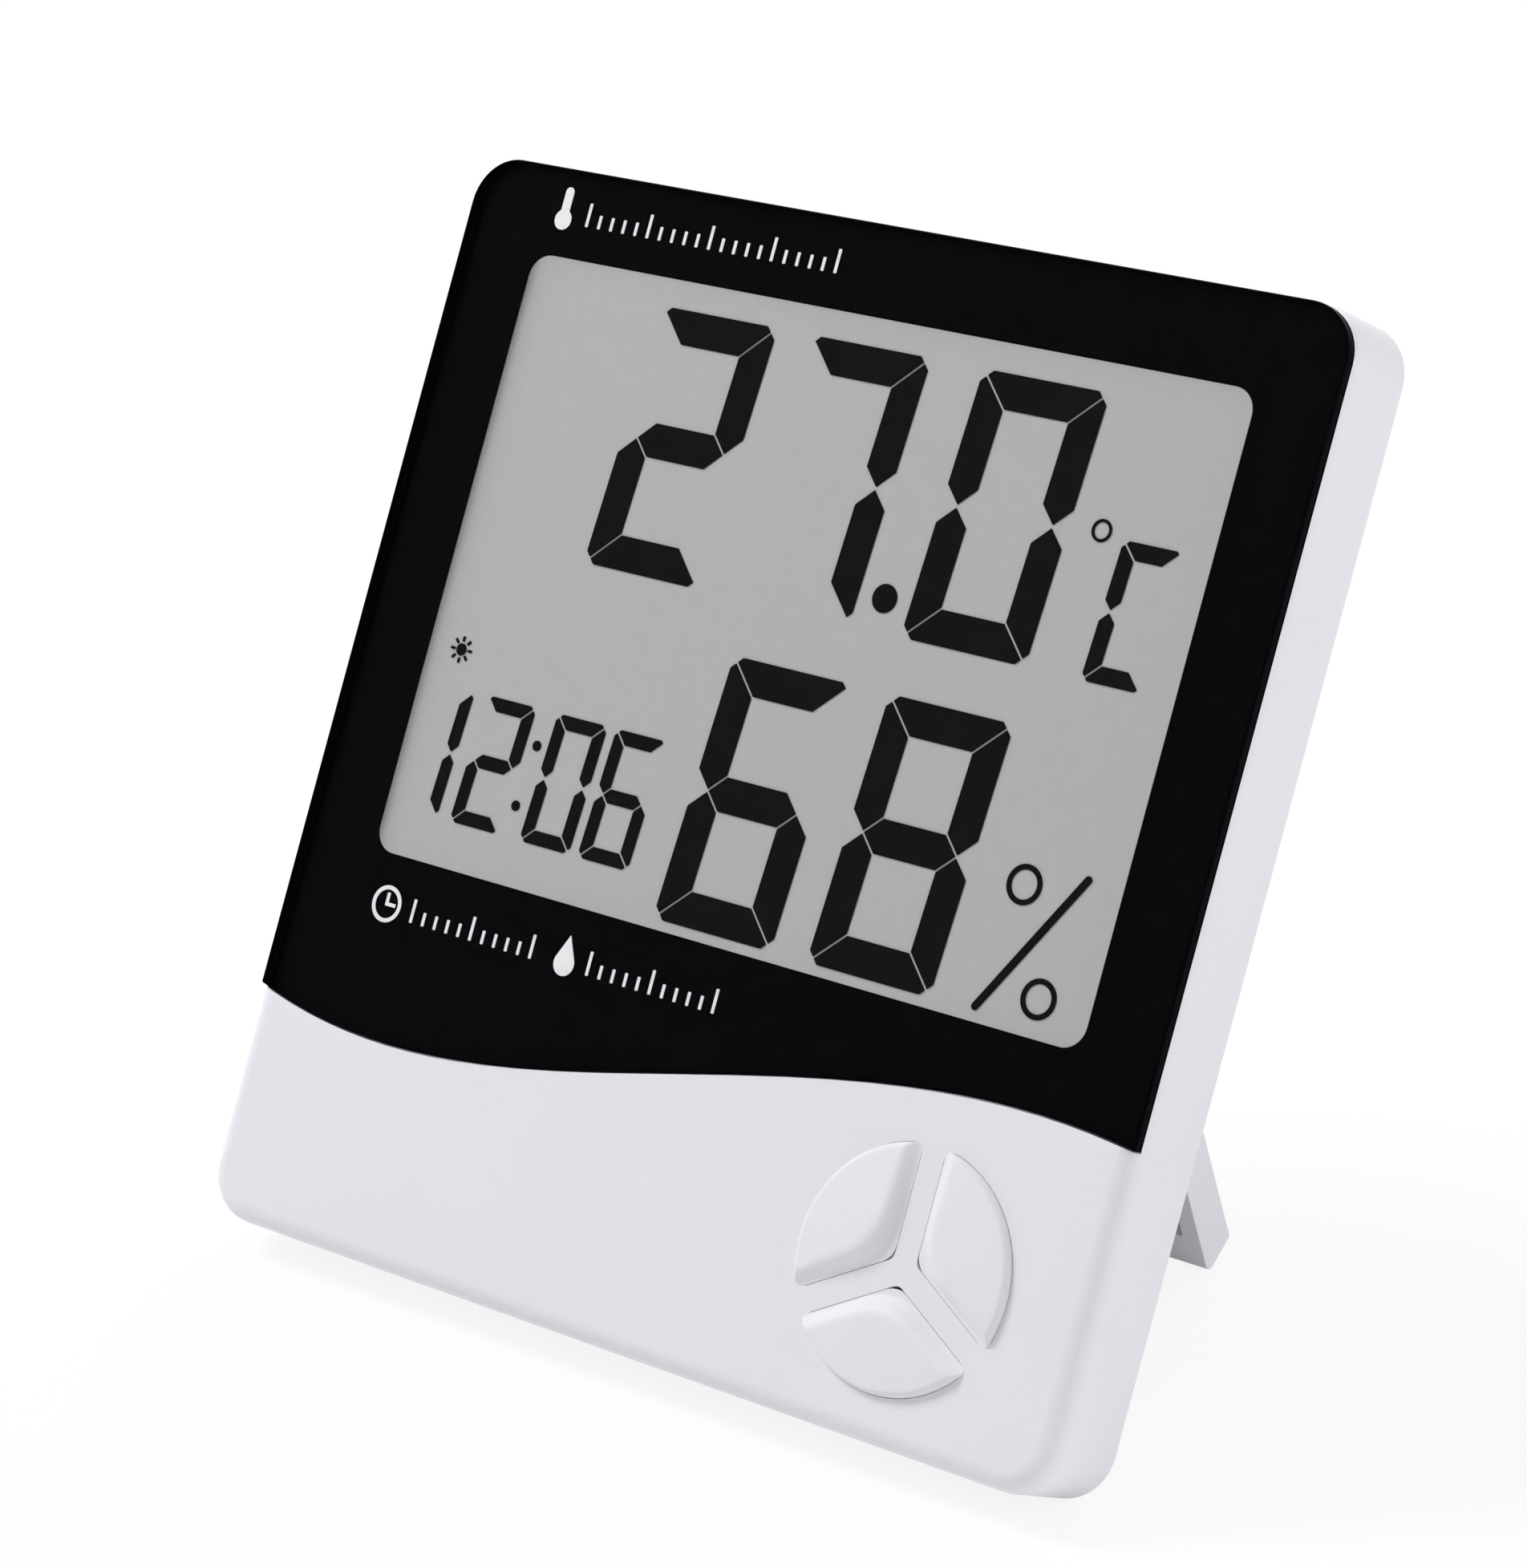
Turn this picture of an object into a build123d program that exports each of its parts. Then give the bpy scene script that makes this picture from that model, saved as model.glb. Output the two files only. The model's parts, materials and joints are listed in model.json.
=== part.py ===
from build123d import *
import math
import os

# Thermometer hygrometer clock, leaning back on its fold-out stand, in millimetres.
# The pieces are drawn upright first: x to the right, y towards the back with the front face
# at y = 0, z up from the bottom edge. The whole clock is then leaned onto its stand.

# Case, front tray
case_width = 100.0
case_height = 106.4
case_corner = 5.0
least_corner = 0.6
wall = 1.8
front_wall = 2.4
rim_depth = 10.7
seat_ledge = 0.8
front_round = 2.0
foot_round = 0.8

# Rear cover with its raised middle
body_depth = 20.0
plate_thickness = 1.6
plate_gap = 0.15
hump_wall = 1.6
hump_base_inset = 4.5
hump_end_inset = 9.0
hump_base_corner = 14.0
hump_round = 1.5

# Lens plate and its wavy lower edge
lens_thickness = 1.0
lens_inset = 0.2
lens_gap = 0.12
icon_thickness = 0.05
mask_thickness = 0.1
wave_left = 22.7
wave_dip_side = 20.5
wave_dip = 20.65
wave_mid_x = 0.0
wave_mid = 25.9
wave_crest_side = 10.5
wave_crest = 32.05
wave_right = 31.3

# Display
window_border = 8.6
window_height = 59.5
window_corner = 2.3
window_top_border = 8.65
glass_margin = 1.6
contact_ledge = 2.2
polarizer_thickness = 0.2
glass_thickness = 1.0
cell_gap = 0.1
reflector_thickness = 0.25
glass_gap = 0.2
glass_corner = 0.3
zebra_end = 4.0
zebra_thickness = 1.7
zebra_inset = 0.25
pad_half_length = 30.0
pad_height = 4.0
pad_drop = 4.0

# Digits, drawn for a display of this size and counted from its middle
art_width = 82.8
art_height = 59.5
slant = 0.047
segment_gap = 0.16
big_width = 13.8
big_height = 25.4
big_stroke = 3.3
big_corner = 1.0
small_width = 6.1
small_height = 12.6
small_stroke = 1.35
small_corner = 0.5
unit_width = 6.3
unit_height = 12.9
unit_stroke = 1.6
temperature_base = 1.8
humidity_base = -28.8
clock_base = -25.3
temperature_digits_x = (-26.7, -8.9, 10.8)
humidity_digits_x = (-7.9, 10.1)
clock_digits_x = (-42.1, -34.3, -25.5, -18.3)

# Signs beside the digits, with heights counted from the foot of their line
unit_x = 30.6
degree_x = 28.7
degree_rise = 13.3
degree_radius = 1.05
degree_stroke = 0.28
point_x = 8.0
point_rise = 3.1
point_radius = 1.35
colon_dots = ((-27.0, 3.1), (-26.4, 9.1))
colon_radius = 0.5
percent_dots = ((30.5, 11.9), (35.0, 2.5))
percent_radius = 1.85
percent_stroke = 0.5
percent_line = (28.8, 0.4, 36.8, 13.7)
percent_line_width = 0.75
sun_x = -38.4
sun_rise = 16.2
sun_radius = 0.6
sun_rays = 8
sun_ray_orbit = 1.05
sun_ray_length = 0.5
sun_ray_width = 0.26

# Signs printed behind the lens, above and below the display, counted from its left edge
upper_sign_rise = 2.6
lower_sign_drop = 6.6
tick_pitch = 1.5
tick_width = 0.32
tick_long = 2.3
tick_short = 1.3
tick_group = 5
tick_lift = 0.7
thermometer_side = 2.4
thermometer_bulb = 1.0
thermometer_stem = 3.2
thermometer_ticks_side = 5.4
thermometer_ticks = 21
dial_side = 3.4
dial_radius = 1.8
dial_stroke = 0.4
dial_hand = 1.1
dial_hand_width = 0.35
dial_ticks_side = 6.8
drop_side = 25.9
drop_radius = 1.2
drop_height = 3.9
drop_ticks_side = 28.8
lower_ticks = 11

# Board and its parts
board_gap = 1.9
board_thickness = 1.2
board_side = 8.5
board_corner = 1.0
board_bottom = 6.5
post_radius = 2.2
post_inset = 3.5
post_rise = 4.0
post_sink = 0.2
post_key_space = 13.0
chip_radius = 7.0
chip_height = 1.6
chip_round = 1.1
chip_x = -4.0
chip_z = 43.0
crystal_radius = 1.0
crystal_length = 6.0
crystal_x = 12.0
crystal_z = 45.0
capacitor_places = ((8.0, 34.0), (14.0, 34.0), (22.0, 40.0))
capacitor_size = (2.0, 1.2, 1.3)
resistor_places = ((8.0, 30.0), (12.0, 30.0), (16.0, 30.0), (20.0, 30.0))
resistor_size = (1.0, 0.6, 2.0)
buzzer_radius = 10.0
ceramic_radius = 7.0
buzzer_sheet = 0.25
buzzer_x = -14.0
buzzer_z = 28.0
buzzer_wire_radius = 0.35
buzzer_wire_drop = 5.0
buzzer_wire_bend = 1.2
sensor_width = 6.0
sensor_height = 9.0
sensor_depth = 3.0
sensor_slot = 0.8
sensor_slot_length = 4.2
sensor_slot_pitch = 2.4
bead_radius = 1.4
leg_radius = 0.25
leg_length = 3.0
leg_spread = 0.6

# Front keys, three sectors of one disc
key_side = 19.8
key_z = 15.7
key_disc_radius = 11.3
key_rib = 2.4
key_gap = 0.25
key_corner = 1.0
key_rise = 1.4
key_round = 1.1
key_flange_reach = 0.8
key_flange = 0.8
key_flange_gap = 0.1
key_travel = 0.5
key_stem_radius = 2.0
key_stem_orbit = 6.4

# Tactile switches
switch_side = 4.6
switch_height = 1.2
switch_corner = 0.4
switch_base = 0.1
plunger_radius = 1.2
plunger_gap = 0.1
plunger_spare = 0.2
plunger_sunk = 0.5

# Small keys on the back
rear_key_radius = 2.5
rear_key_gap = 0.2
rear_key_flange = 0.6
rear_key_flange_thickness = 0.8
rear_key_rise = 0.4
rear_key_stem = 1.2
rear_key_post_space = 5.5
rear_key_pitch = 9.5
rear_key_board_room = 5.5
rear_key_side_gap = 0.5
rear_edge_room = 1.9

# Fold-out stand
stand_side = 20.0
stand_thickness = 4.4
stand_length = 50.2
stand_tip_drop = 1.2
stand_angle = 47.3
stand_skin = 1.6
stand_flange = 2.0
stand_rib = 1.2
stand_pockets = 6
stand_side_gap = 0.3
stand_stop_gap = 0.1
stand_swing_gap = 0.3
heel_round = 0.5
hinge_z = 55.1
pin_radius = 1.0
pin_seat_gap = 0.02
pin_running_gap = 0.06
pin_seat = 3.0
pin_end_gap = 0.2
cheek_wall = 1.2

# Battery bay and sliding door
cell_diameter = 10.5
cell_length = 44.5
cell_nub_radius = 1.9
cell_nub_length = 0.9
cell_round = 0.6
cell_gap_side = 0.85
cell_gap_floor = 0.3
bay_wall = 1.2
bay_floor = 1.0
contact_thickness = 0.4
contact_width = 8.0
contact_tab = 2.6
contact_tab_length = 1.5
spring_length = 4.6
spring_radius = 3.0
spring_wire = 0.3
spring_turns = 3.5
battery_wire_radius = 0.5
battery_wire_bend = 1.6
battery_wire_x = 16.0
battery_wire_z = 48.0
door_thickness = 1.6
door_gap = 0.15
door_floor_gap = 0.1
door_bed = 1.2
door_travel = 4.5
door_overlap = 1.2
tongue_length = 3.0
tongue_reach = 0.8
tongue_thickness = 0.7
tongue_low = 2.0
tongue_pitch = 7.4
grip_width = 24.0
grip_groove = 0.9
grip_pitch = 2.0
grip_count = 4
grip_depth = 0.5

# Keyhole and vent slots
keyhole_radius = 3.7
keyhole_slot = 4.0
keyhole_rise = 4.2
keyhole_space = 3.4
vent_count = 5
vent_width = 1.3
vent_length = 6.0
vent_pitch = 3.0

# Screws
case_screw_inset = 4.7
case_screw_radius = 1.0
case_screw_hole = 1.25
case_screw_head = 2.0
case_screw_head_height = 1.2
case_screw_counterbore = 0.8
case_screw_head_gap = 0.25
case_boss_radius = 3.1
board_screw_radius = 0.9
board_screw_hole = 1.1
board_screw_head = 1.8
board_screw_head_height = 1.1
thread_gap = 0.02
screw_tip_gap = 0.6
drive_width = 0.5
drive_depth = 0.5
drive_share = 0.6

# Widths worked out from the sizes above
window_width = case_width - 2 * window_border
glass_width = window_width + 2 * glass_margin
zebra_length = glass_width - 2 * zebra_end
board_width = case_width - 2 * board_side
wave_dip_x = wave_dip_side - case_width / 2
wave_crest_x = case_width / 2 - wave_crest_side
key_x = case_width / 2 - key_side
stand_width = case_width - 2 * stand_side
recess_half = stand_width / 2 + stand_side_gap
key_strip_half = rear_key_radius + rear_key_flange + rear_key_side_gap
side_x = recess_half + hump_wall + key_strip_half
hump_side_inset = case_width / 2 - side_x - key_strip_half - rear_edge_room

# Depths worked out from the sizes above, front to back
mask_front = lens_thickness + icon_thickness
pocket_depth = mask_front + mask_thickness
front_glass_y = pocket_depth + polarizer_thickness
cell_y = front_glass_y + glass_thickness
rear_glass_y = cell_y + cell_gap
reflector_y = rear_glass_y + glass_thickness
lcd_back = reflector_y + reflector_thickness
board_front = lcd_back + board_gap
board_back = board_front + board_thickness
plate_front = rim_depth - plate_thickness
hump_inside = body_depth - hump_wall
half_stand = stand_thickness / 2
hinge_y = body_depth - half_stand
recess_floor = hinge_y - half_stand - stand_stop_gap
bed_rear = body_depth - door_thickness - door_floor_gap
plunger_rise = key_travel + plunger_spare

# Heights worked out from the sizes above
window_z = case_height - window_top_border - window_height / 2
window_bottom = window_z - window_height / 2
glass_bottom = window_bottom - glass_margin
glass_top = window_z + window_height / 2 + glass_margin
ledge_bottom = glass_bottom - contact_ledge
open_angle = math.radians(stand_angle)
heel_rise = half_stand * math.sin(open_angle)
heel_rise += half_stand * (1 + math.cos(open_angle)) / math.tan(open_angle)
recess_top = hinge_z + math.hypot(heel_rise, half_stand) + stand_swing_gap
bay_bottom = recess_top + hump_wall + bay_wall
bay_height = cell_diameter + 2 * cell_gap_side
bay_z = bay_bottom + bay_height / 2
bay_length = cell_length + spring_length + 2 * contact_thickness
door_bottom = bay_bottom - door_overlap
door_top = bay_bottom + bay_height + door_overlap
door_half = bay_length / 2 + door_overlap
bed_top = door_top + door_travel + door_gap
keyhole_z = bed_top + keyhole_space + keyhole_radius
post_top_z = ledge_bottom - glass_gap - post_radius - screw_tip_gap
rear_key_low_z = post_top_z + rear_key_post_space
rear_key_high_z = rear_key_low_z + rear_key_pitch
board_top = rear_key_high_z + rear_key_board_room
vent_z = (rear_key_low_z + rear_key_high_z) / 2


def slab(face, front, back):
    return extrude(Plane.XZ.offset(-front) * face, amount=front - back)


def block(x0, x1, y0, y1, z0, z1):
    return Pos((x0 + x1) / 2, (y0 + y1) / 2, (z0 + z1) / 2) * Box(x1 - x0, y1 - y0, z1 - z0)


def rod(x, z, radius, front, back):
    return slab(Pos(x, z) * Circle(radius), front, back)


def rod_across(x0, x1, y, z, radius):
    return Pos((x0 + x1) / 2, y, z) * Rot(0, 90, 0) * Cylinder(radius, x1 - x0)


def outline(inset):
    corner = max(case_corner - inset, least_corner)
    shape = RectangleRounded(case_width - 2 * inset, case_height - 2 * inset, corner)
    return Pos(0, case_height / 2) * shape


def centred(width, height, corner, z):
    return Pos(0, z) * RectangleRounded(width, height, corner)


def tube(points, radius, bend):
    path = FilletPolyline(*points, radius=bend)
    return sweep(Plane(origin=path @ 0, z_dir=path % 0) * Circle(radius), path=path)


def group(shapes):
    solids = []
    for shape in shapes:
        solids.extend(shape.solids())
    return Compound(solids)


# The wavy edge, and all that lies above it
def above_wave(gap):
    half = case_width
    left = (-case_width / 2, wave_left + gap)
    right = (case_width / 2, wave_right + gap)
    dip = (wave_dip_x, wave_dip + gap)
    middle = (wave_mid_x, wave_mid + gap)
    crest = (wave_crest_x, wave_crest + gap)
    top = case_height + wall
    edge = Spline(left, dip, middle, crest, right)
    rest = Polyline(right, (half, right[1]), (half, top), (-half, top), (-half, left[1]), left)
    return make_face(Curve() + [edge, rest])


def lens_outline(gap, inset):
    return outline(inset) & above_wave(gap)


# Front keys: a disc cut by three ribs into three rounded sectors
def key_sectors(radius, rib, corner):
    disc = Circle(radius)
    for angle in key_rib_turns:
        disc -= Rot(0, 0, angle) * Pos(radius, 0) * Rectangle(2 * radius, rib)
    disc = fillet(disc.vertices(), corner)
    sectors = []
    for turn in key_turns.values():
        way = Vector(math.cos(math.radians(turn)), math.sin(math.radians(turn)), 0)
        face = disc.faces().sort_by(lambda f: f.center().dot(way))[-1]
        sectors.append(Pos(key_x, key_z) * face)
    return sectors


def key_stem_place(turn):
    x = key_x + key_stem_orbit * math.cos(math.radians(turn))
    z = key_z + key_stem_orbit * math.sin(math.radians(turn))
    return x, z


key_rib_turns = (90, 210, 330)
key_turns = {"left": 150, "right": 30, "bottom": 270}
rear_keys = {"unit": rear_key_high_z, "reset": rear_key_low_z}

# Screw places
screw_x = case_width / 2 - case_screw_inset
screw_top = case_height - case_screw_inset
case_screw_places = [(x, z) for x in (-screw_x, screw_x) for z in (case_screw_inset, screw_top)]
post_x = board_width / 2 - post_inset
post_low_z = board_bottom + post_rise
post_key_x = key_x - key_disc_radius - post_key_space
board_screw_places = [(-post_x, post_top_z), (post_x, post_top_z)]
board_screw_places += [(-post_x, post_low_z), (post_key_x, post_low_z)]


def make_front_case():
    shell = slab(outline(0), 0, rim_depth)
    front_edges = shell.faces().sort_by(Axis.Y)[0].edges()
    shell = fillet(front_edges, front_round)
    rear_edges = shell.faces().sort_by(Axis.Y)[-1].edges()
    shell = fillet(rear_edges, foot_round)
    shell -= slab(outline(wall + seat_ledge), front_wall, plate_front)
    shell -= slab(outline(wall), plate_front, rim_depth)
    shell -= slab(above_wave(0), -front_round, pocket_depth)
    for x, z in case_screw_places:
        shell += rod(x, z, case_boss_radius, front_wall, plate_front) & slab(outline(wall), 0, rim_depth)
    for x, z in board_screw_places:
        shell += rod(x, z, post_radius, front_wall - post_sink, board_front)
    window = centred(
        glass_width + 2 * glass_gap,
        glass_top - ledge_bottom + 2 * glass_gap,
        glass_gap,
        (glass_top + ledge_bottom) / 2,
    )
    shell -= slab(window, 0, front_wall)
    for x, z in case_screw_places:
        shell -= rod(x, z, case_screw_radius + thread_gap, front_wall + screw_tip_gap, plate_front)
    for x, z in board_screw_places:
        shell -= rod(x, z, board_screw_radius + thread_gap, front_wall + screw_tip_gap, board_front)
    for sector in key_sectors(key_disc_radius, key_rib, key_corner):
        shell -= slab(sector, -key_rise, front_wall)
    return shell


def make_key(index, turn):
    inner = key_disc_radius - key_gap
    rib = key_rib + 2 * key_gap
    sector = key_sectors(inner, rib, key_corner)[index]
    flange_rib = rib - 2 * key_flange_reach
    flange = key_sectors(inner + key_flange_reach, flange_rib, key_corner)[index]
    flange_front = front_wall + key_flange_gap
    cap = slab(sector, -key_rise, flange_front)
    cap = fillet(cap.faces().sort_by(Axis.Y)[0].edges(), key_round)
    x, z = key_stem_place(turn)
    cap += slab(flange, flange_front, flange_front + key_flange)
    cap += rod(x, z, key_stem_radius, flange_front, board_front - switch_height - plunger_rise)
    return cap


def make_switch(x, z, board_face, way):
    mouth = board_face + way * switch_height
    foot = board_face + way * switch_base
    square = Pos(x, z) * RectangleRounded(switch_side, switch_side, switch_corner)
    body = slab(square, min(board_face, mouth), max(board_face, mouth))
    return body - rod(x, z, plunger_radius + plunger_gap, min(foot, mouth), max(foot, mouth))


def make_plunger(x, z, board_face, way):
    tip = board_face + way * (switch_height + plunger_rise)
    end = board_face + way * (switch_height - plunger_sunk)
    return rod(x, z, plunger_radius, min(tip, end), max(tip, end))


def make_rear_key(z):
    inner = hump_inside - rear_key_gap
    flange_front = inner - rear_key_flange_thickness
    tip = board_back + switch_height + plunger_rise
    cap = rod(-side_x, z, rear_key_radius, flange_front, body_depth + rear_key_rise)
    cap = fillet(cap.faces().sort_by(Axis.Y)[-1].edges(), rear_key_rise)
    cap += rod(-side_x, z, rear_key_radius + rear_key_flange, flange_front, inner)
    cap += rod(-side_x, z, rear_key_stem, tip, flange_front)
    return cap


# Rear cover
def hump_face(depth, extra):
    share = (depth - plate_front) / (body_depth - plate_front)
    side_inset = hump_base_inset + (hump_side_inset - hump_base_inset) * share + extra
    end_inset = hump_base_inset + (hump_end_inset - hump_base_inset) * share + extra
    corner = hump_base_corner - end_inset + hump_base_inset
    shape = RectangleRounded(case_width - 2 * side_inset, case_height - 2 * end_inset, corner)
    return Plane.XZ.offset(-depth) * Pos(0, case_height / 2) * shape


def make_hump(front, back, extra):
    return loft([hump_face(front, extra), hump_face(back, extra)], ruled=True)


def keyhole_face():
    slot = Pos(0, keyhole_z + keyhole_rise / 2) * Rectangle(keyhole_slot, keyhole_rise)
    end = Pos(0, keyhole_z + keyhole_rise) * Circle(keyhole_slot / 2)
    return Pos(0, keyhole_z) * Circle(keyhole_radius) + slot + end


def make_rear_case():
    solid_hump = make_hump(plate_front, body_depth, 0)
    solid_hump = fillet(solid_hump.faces().sort_by(Axis.Y)[-1].edges(), hump_round)
    cover = slab(outline(wall + plate_gap), plate_front, rim_depth) + solid_hump
    cover -= make_hump(plate_front, hump_inside, hump_wall)
    recess_front = recess_floor - hump_wall
    housing = block(
        -recess_half - hump_wall,
        recess_half + hump_wall,
        recess_front,
        body_depth,
        0,
        recess_top + hump_wall,
    )
    cheek_half = recess_half + pin_seat + cheek_wall
    cheek_reach = pin_radius + cheek_wall + pin_seat_gap
    housing += block(
        -cheek_half,
        cheek_half,
        hinge_y - cheek_reach,
        body_depth,
        hinge_z - cheek_reach,
        hinge_z + cheek_reach,
    )
    bed_half = door_half + tongue_reach + door_gap
    housing += block(
        -bed_half - bay_wall,
        bed_half + bay_wall,
        bed_rear - door_bed,
        body_depth,
        door_bottom - door_gap - bay_wall,
        bed_top + bay_wall,
    )
    cover += housing & solid_hump
    bay_half = bay_length / 2
    bay_top = bay_bottom + bay_height
    cover += block(
        -bay_half - bay_wall,
        bay_half + bay_wall,
        board_front,
        bed_rear,
        bay_bottom - bay_wall,
        bay_top + bay_wall,
    )
    cover -= block(-recess_half, recess_half, recess_floor, 2 * body_depth, -wall, recess_top)
    cover -= block(-bay_half, bay_half, board_front + bay_floor, body_depth, bay_bottom, bay_top)
    cover -= block(-bed_half, bed_half, bed_rear, 2 * body_depth, door_bottom - door_gap, bed_top)
    for side in (-1, 1):
        for low in tongue_places():
            lip_low = bed_rear + door_floor_gap + tongue_thickness + door_gap
            edge = sorted((side * (door_half + door_gap), side * bed_half))
            cover += block(edge[0], edge[1], lip_low, body_depth, low, low + tongue_length)
        tab = sorted((side * (bay_half - contact_thickness - door_gap), side * bay_half))
        cover -= block(
            tab[0],
            tab[1],
            bay_contact_y() - contact_tab / 2 - door_gap,
            bay_contact_y() + contact_tab / 2 + door_gap,
            bay_bottom - 2 * bay_wall,
            bay_bottom + bay_wall,
        )
    cover -= slab(keyhole_face(), hump_inside - hump_wall, body_depth + hump_wall)
    for index in range(vent_count):
        z = vent_z + (index - (vent_count - 1) / 2) * vent_pitch
        slot = Pos(side_x, z) * SlotOverall(vent_length, vent_width)
        cover -= slab(slot, hump_inside - hump_wall, body_depth + hump_wall)
    for z in rear_keys.values():
        hole = rear_key_radius + rear_key_gap
        cover -= rod(-side_x, z, hole, hump_inside - hump_wall, body_depth + hump_wall)
    cover -= rod_across(-recess_half - pin_seat, recess_half + pin_seat, hinge_y, hinge_z,
                        pin_radius + pin_seat_gap)
    for x, z in case_screw_places:
        cover -= rod(x, z, case_screw_hole, plate_front - wall, rim_depth + wall)
        head_hole = case_screw_head + case_screw_head_gap
        cover -= rod(x, z, head_hole, rim_depth - case_screw_counterbore, rim_depth + wall)
    return cover


# Battery bay fittings
def tongue_places():
    return [door_bottom + tongue_low, door_bottom + tongue_low + tongue_pitch]


def bay_contact_y():
    return board_front + bay_floor + cell_gap_floor + cell_diameter / 2


def make_contact(side):
    y = bay_contact_y()
    outer = bay_length / 2
    face = sorted((side * outer, side * (outer - contact_thickness)))
    low = bay_bottom - bay_wall - contact_tab_length
    plate = block(face[0], face[1], y - contact_width / 2, y + contact_width / 2,
                  bay_z - contact_width / 2, bay_z + contact_width / 2)
    tab = block(face[0], face[1], y - contact_tab / 2, y + contact_tab / 2, low, bay_z)
    return plate + tab


def biarc(start, way, end, end_way):
    span = end - start
    turn = way + end_way
    a = 2 * way.dot(end_way) - 2
    b = -2 * span.dot(turn)
    reach = (-b - math.sqrt(b * b - 4 * a * span.dot(span))) / (2 * a)
    first = start + way * reach
    second = end - end_way * reach
    middle = (first + second) * 0.5
    return [
        TangentArc(start, middle, tangent=way),
        TangentArc(middle, end, tangent=(second - first).normalized()),
    ]


def make_spring():
    start = -bay_length / 2 + contact_thickness + spring_wire
    pitch = (spring_length - 2 * spring_wire) / spring_turns
    quarters = round(4 * spring_turns)
    places = []
    for index in range(quarters + 1):
        angle = math.pi / 2 * index
        y = bay_contact_y() + spring_radius * math.cos(angle)
        z = bay_z + spring_radius * math.sin(angle)
        round_way = math.tau * spring_radius
        way = Vector(pitch, -round_way * math.sin(angle), round_way * math.cos(angle))
        places.append((Vector(start + pitch * index / 4, y, z), way.normalized()))
    arcs = []
    for (place_a, way_a), (place_b, way_b) in zip(places, places[1:]):
        arcs += biarc(place_a, way_a, place_b, way_b)
    print("spring gap", round(pitch - 2 * spring_wire, 3))
    path = Wire(arcs)
    return sweep(Plane(origin=places[0][0], z_dir=places[0][1]) * Circle(spring_wire), path=path)


def make_battery():
    y = bay_contact_y()
    start = -bay_length / 2 + contact_thickness + spring_length
    end = start + cell_length
    can = rod_across(start, end - cell_nub_length, y, bay_z, cell_diameter / 2)
    can = fillet(can.edges().filter_by(GeomType.CIRCLE), cell_round)
    return can + rod_across(end - cell_nub_length - cell_round, end, y, bay_z, cell_nub_radius)


def make_battery_wire(side):
    x = side * (bay_length / 2 - contact_thickness / 2)
    y = bay_contact_y()
    top = bay_bottom - bay_wall - contact_tab_length
    points = [
        (x, y, top),
        (x, y, top - 3 * battery_wire_bend),
        (side * battery_wire_x, y, battery_wire_z),
        (side * battery_wire_x, board_back, battery_wire_z),
    ]
    return tube(points, battery_wire_radius, battery_wire_bend)


def make_door():
    plate = block(-door_half, door_half, bed_rear + door_floor_gap, body_depth, door_bottom, door_top)
    for side in (-1, 1):
        for low in tongue_places():
            edge = sorted((side * (door_half - tongue_reach), side * (door_half + tongue_reach)))
            front = bed_rear + door_floor_gap
            plate += block(edge[0], edge[1], front, front + tongue_thickness, low, low + tongue_length)
    grip_z = door_top - (grip_count + 1) * grip_pitch
    for index in range(grip_count):
        z = grip_z + index * grip_pitch
        groove = Pos(0, z) * SlotOverall(grip_width, grip_groove)
        plate -= slab(groove, body_depth - grip_depth, body_depth + grip_depth)
    return plate


# Stand: profile drawn folded, across its thickness and down its length, then opened
def stand_point(across, down):
    return (hinge_y + across, hinge_z - down)


def make_stand():
    h = half_stand
    arc_end = (-h * math.cos(open_angle), -h * math.sin(open_angle))
    arc_mid = (-h * math.cos(open_angle / 2), -h * math.sin(open_angle / 2))
    profile = Curve() + [
        Polyline(
            stand_point(*arc_end),
            stand_point(h, -heel_rise),
            stand_point(h, stand_length - stand_tip_drop),
            stand_point(-h, stand_length),
            stand_point(-h, 0),
        ),
        ThreePointArc(stand_point(-h, 0), stand_point(*arc_mid), stand_point(*arc_end)),
    ]
    side = Plane.YZ.offset(-stand_width / 2) * make_face(profile)
    body = extrude(side, amount=stand_width)
    along_x = body.edges().filter_by(Axis.X)
    tip = along_x.sort_by(lambda e: e.center().Z)[0]
    body = fillet(tip, foot_round)
    heel = body.edges().filter_by(Axis.X).sort_by(lambda e: e.center().Z)[-1]
    body = fillet(heel, heel_round)
    inside = stand_width - 2 * stand_flange - (stand_pockets - 1) * stand_rib
    pocket = inside / stand_pockets
    pocket_top = hinge_z - 2 * stand_thickness
    pocket_low = hinge_z - stand_length + stand_thickness
    for index in range(stand_pockets):
        x = -stand_width / 2 + stand_flange + index * (pocket + stand_rib)
        skin_front = body_depth - stand_skin
        body -= block(x, x + pocket, recess_floor - wall, skin_front, pocket_low, pocket_top)
    body -= rod_across(-stand_width, stand_width, hinge_y, hinge_z, pin_radius + pin_running_gap)
    return body.rotate(Axis((0, hinge_y, hinge_z), (1, 0, 0)), stand_angle)


def make_pin():
    half = recess_half + pin_seat - pin_end_gap
    return rod_across(-half, half, hinge_y, hinge_z, pin_radius)


# Board and what it carries
def make_board():
    height = board_top - board_bottom
    face = centred(board_width, height, board_corner, board_bottom + height / 2)
    board = slab(face, board_front, board_back)
    for x, z in board_screw_places:
        board -= rod(x, z, board_screw_hole, board_front - wall, board_back + wall)
    return board


def make_screw(x, z, radius, head, head_height, seat, tip):
    screw = rod(x, z, radius, tip, seat) + rod(x, z, head, seat, seat + head_height)
    top = seat + head_height
    for angle in (0, 90):
        slot = Pos(x, z) * Rot(0, 0, angle) * Rectangle(2 * drive_share * head, drive_width)
        screw -= slab(slot, top - drive_depth, top)
    return screw


def make_chip_cap():
    cap = rod(chip_x, chip_z, chip_radius, board_back, board_back + chip_height)
    return fillet(cap.faces().sort_by(Axis.Y)[-1].edges(), chip_round)


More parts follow.
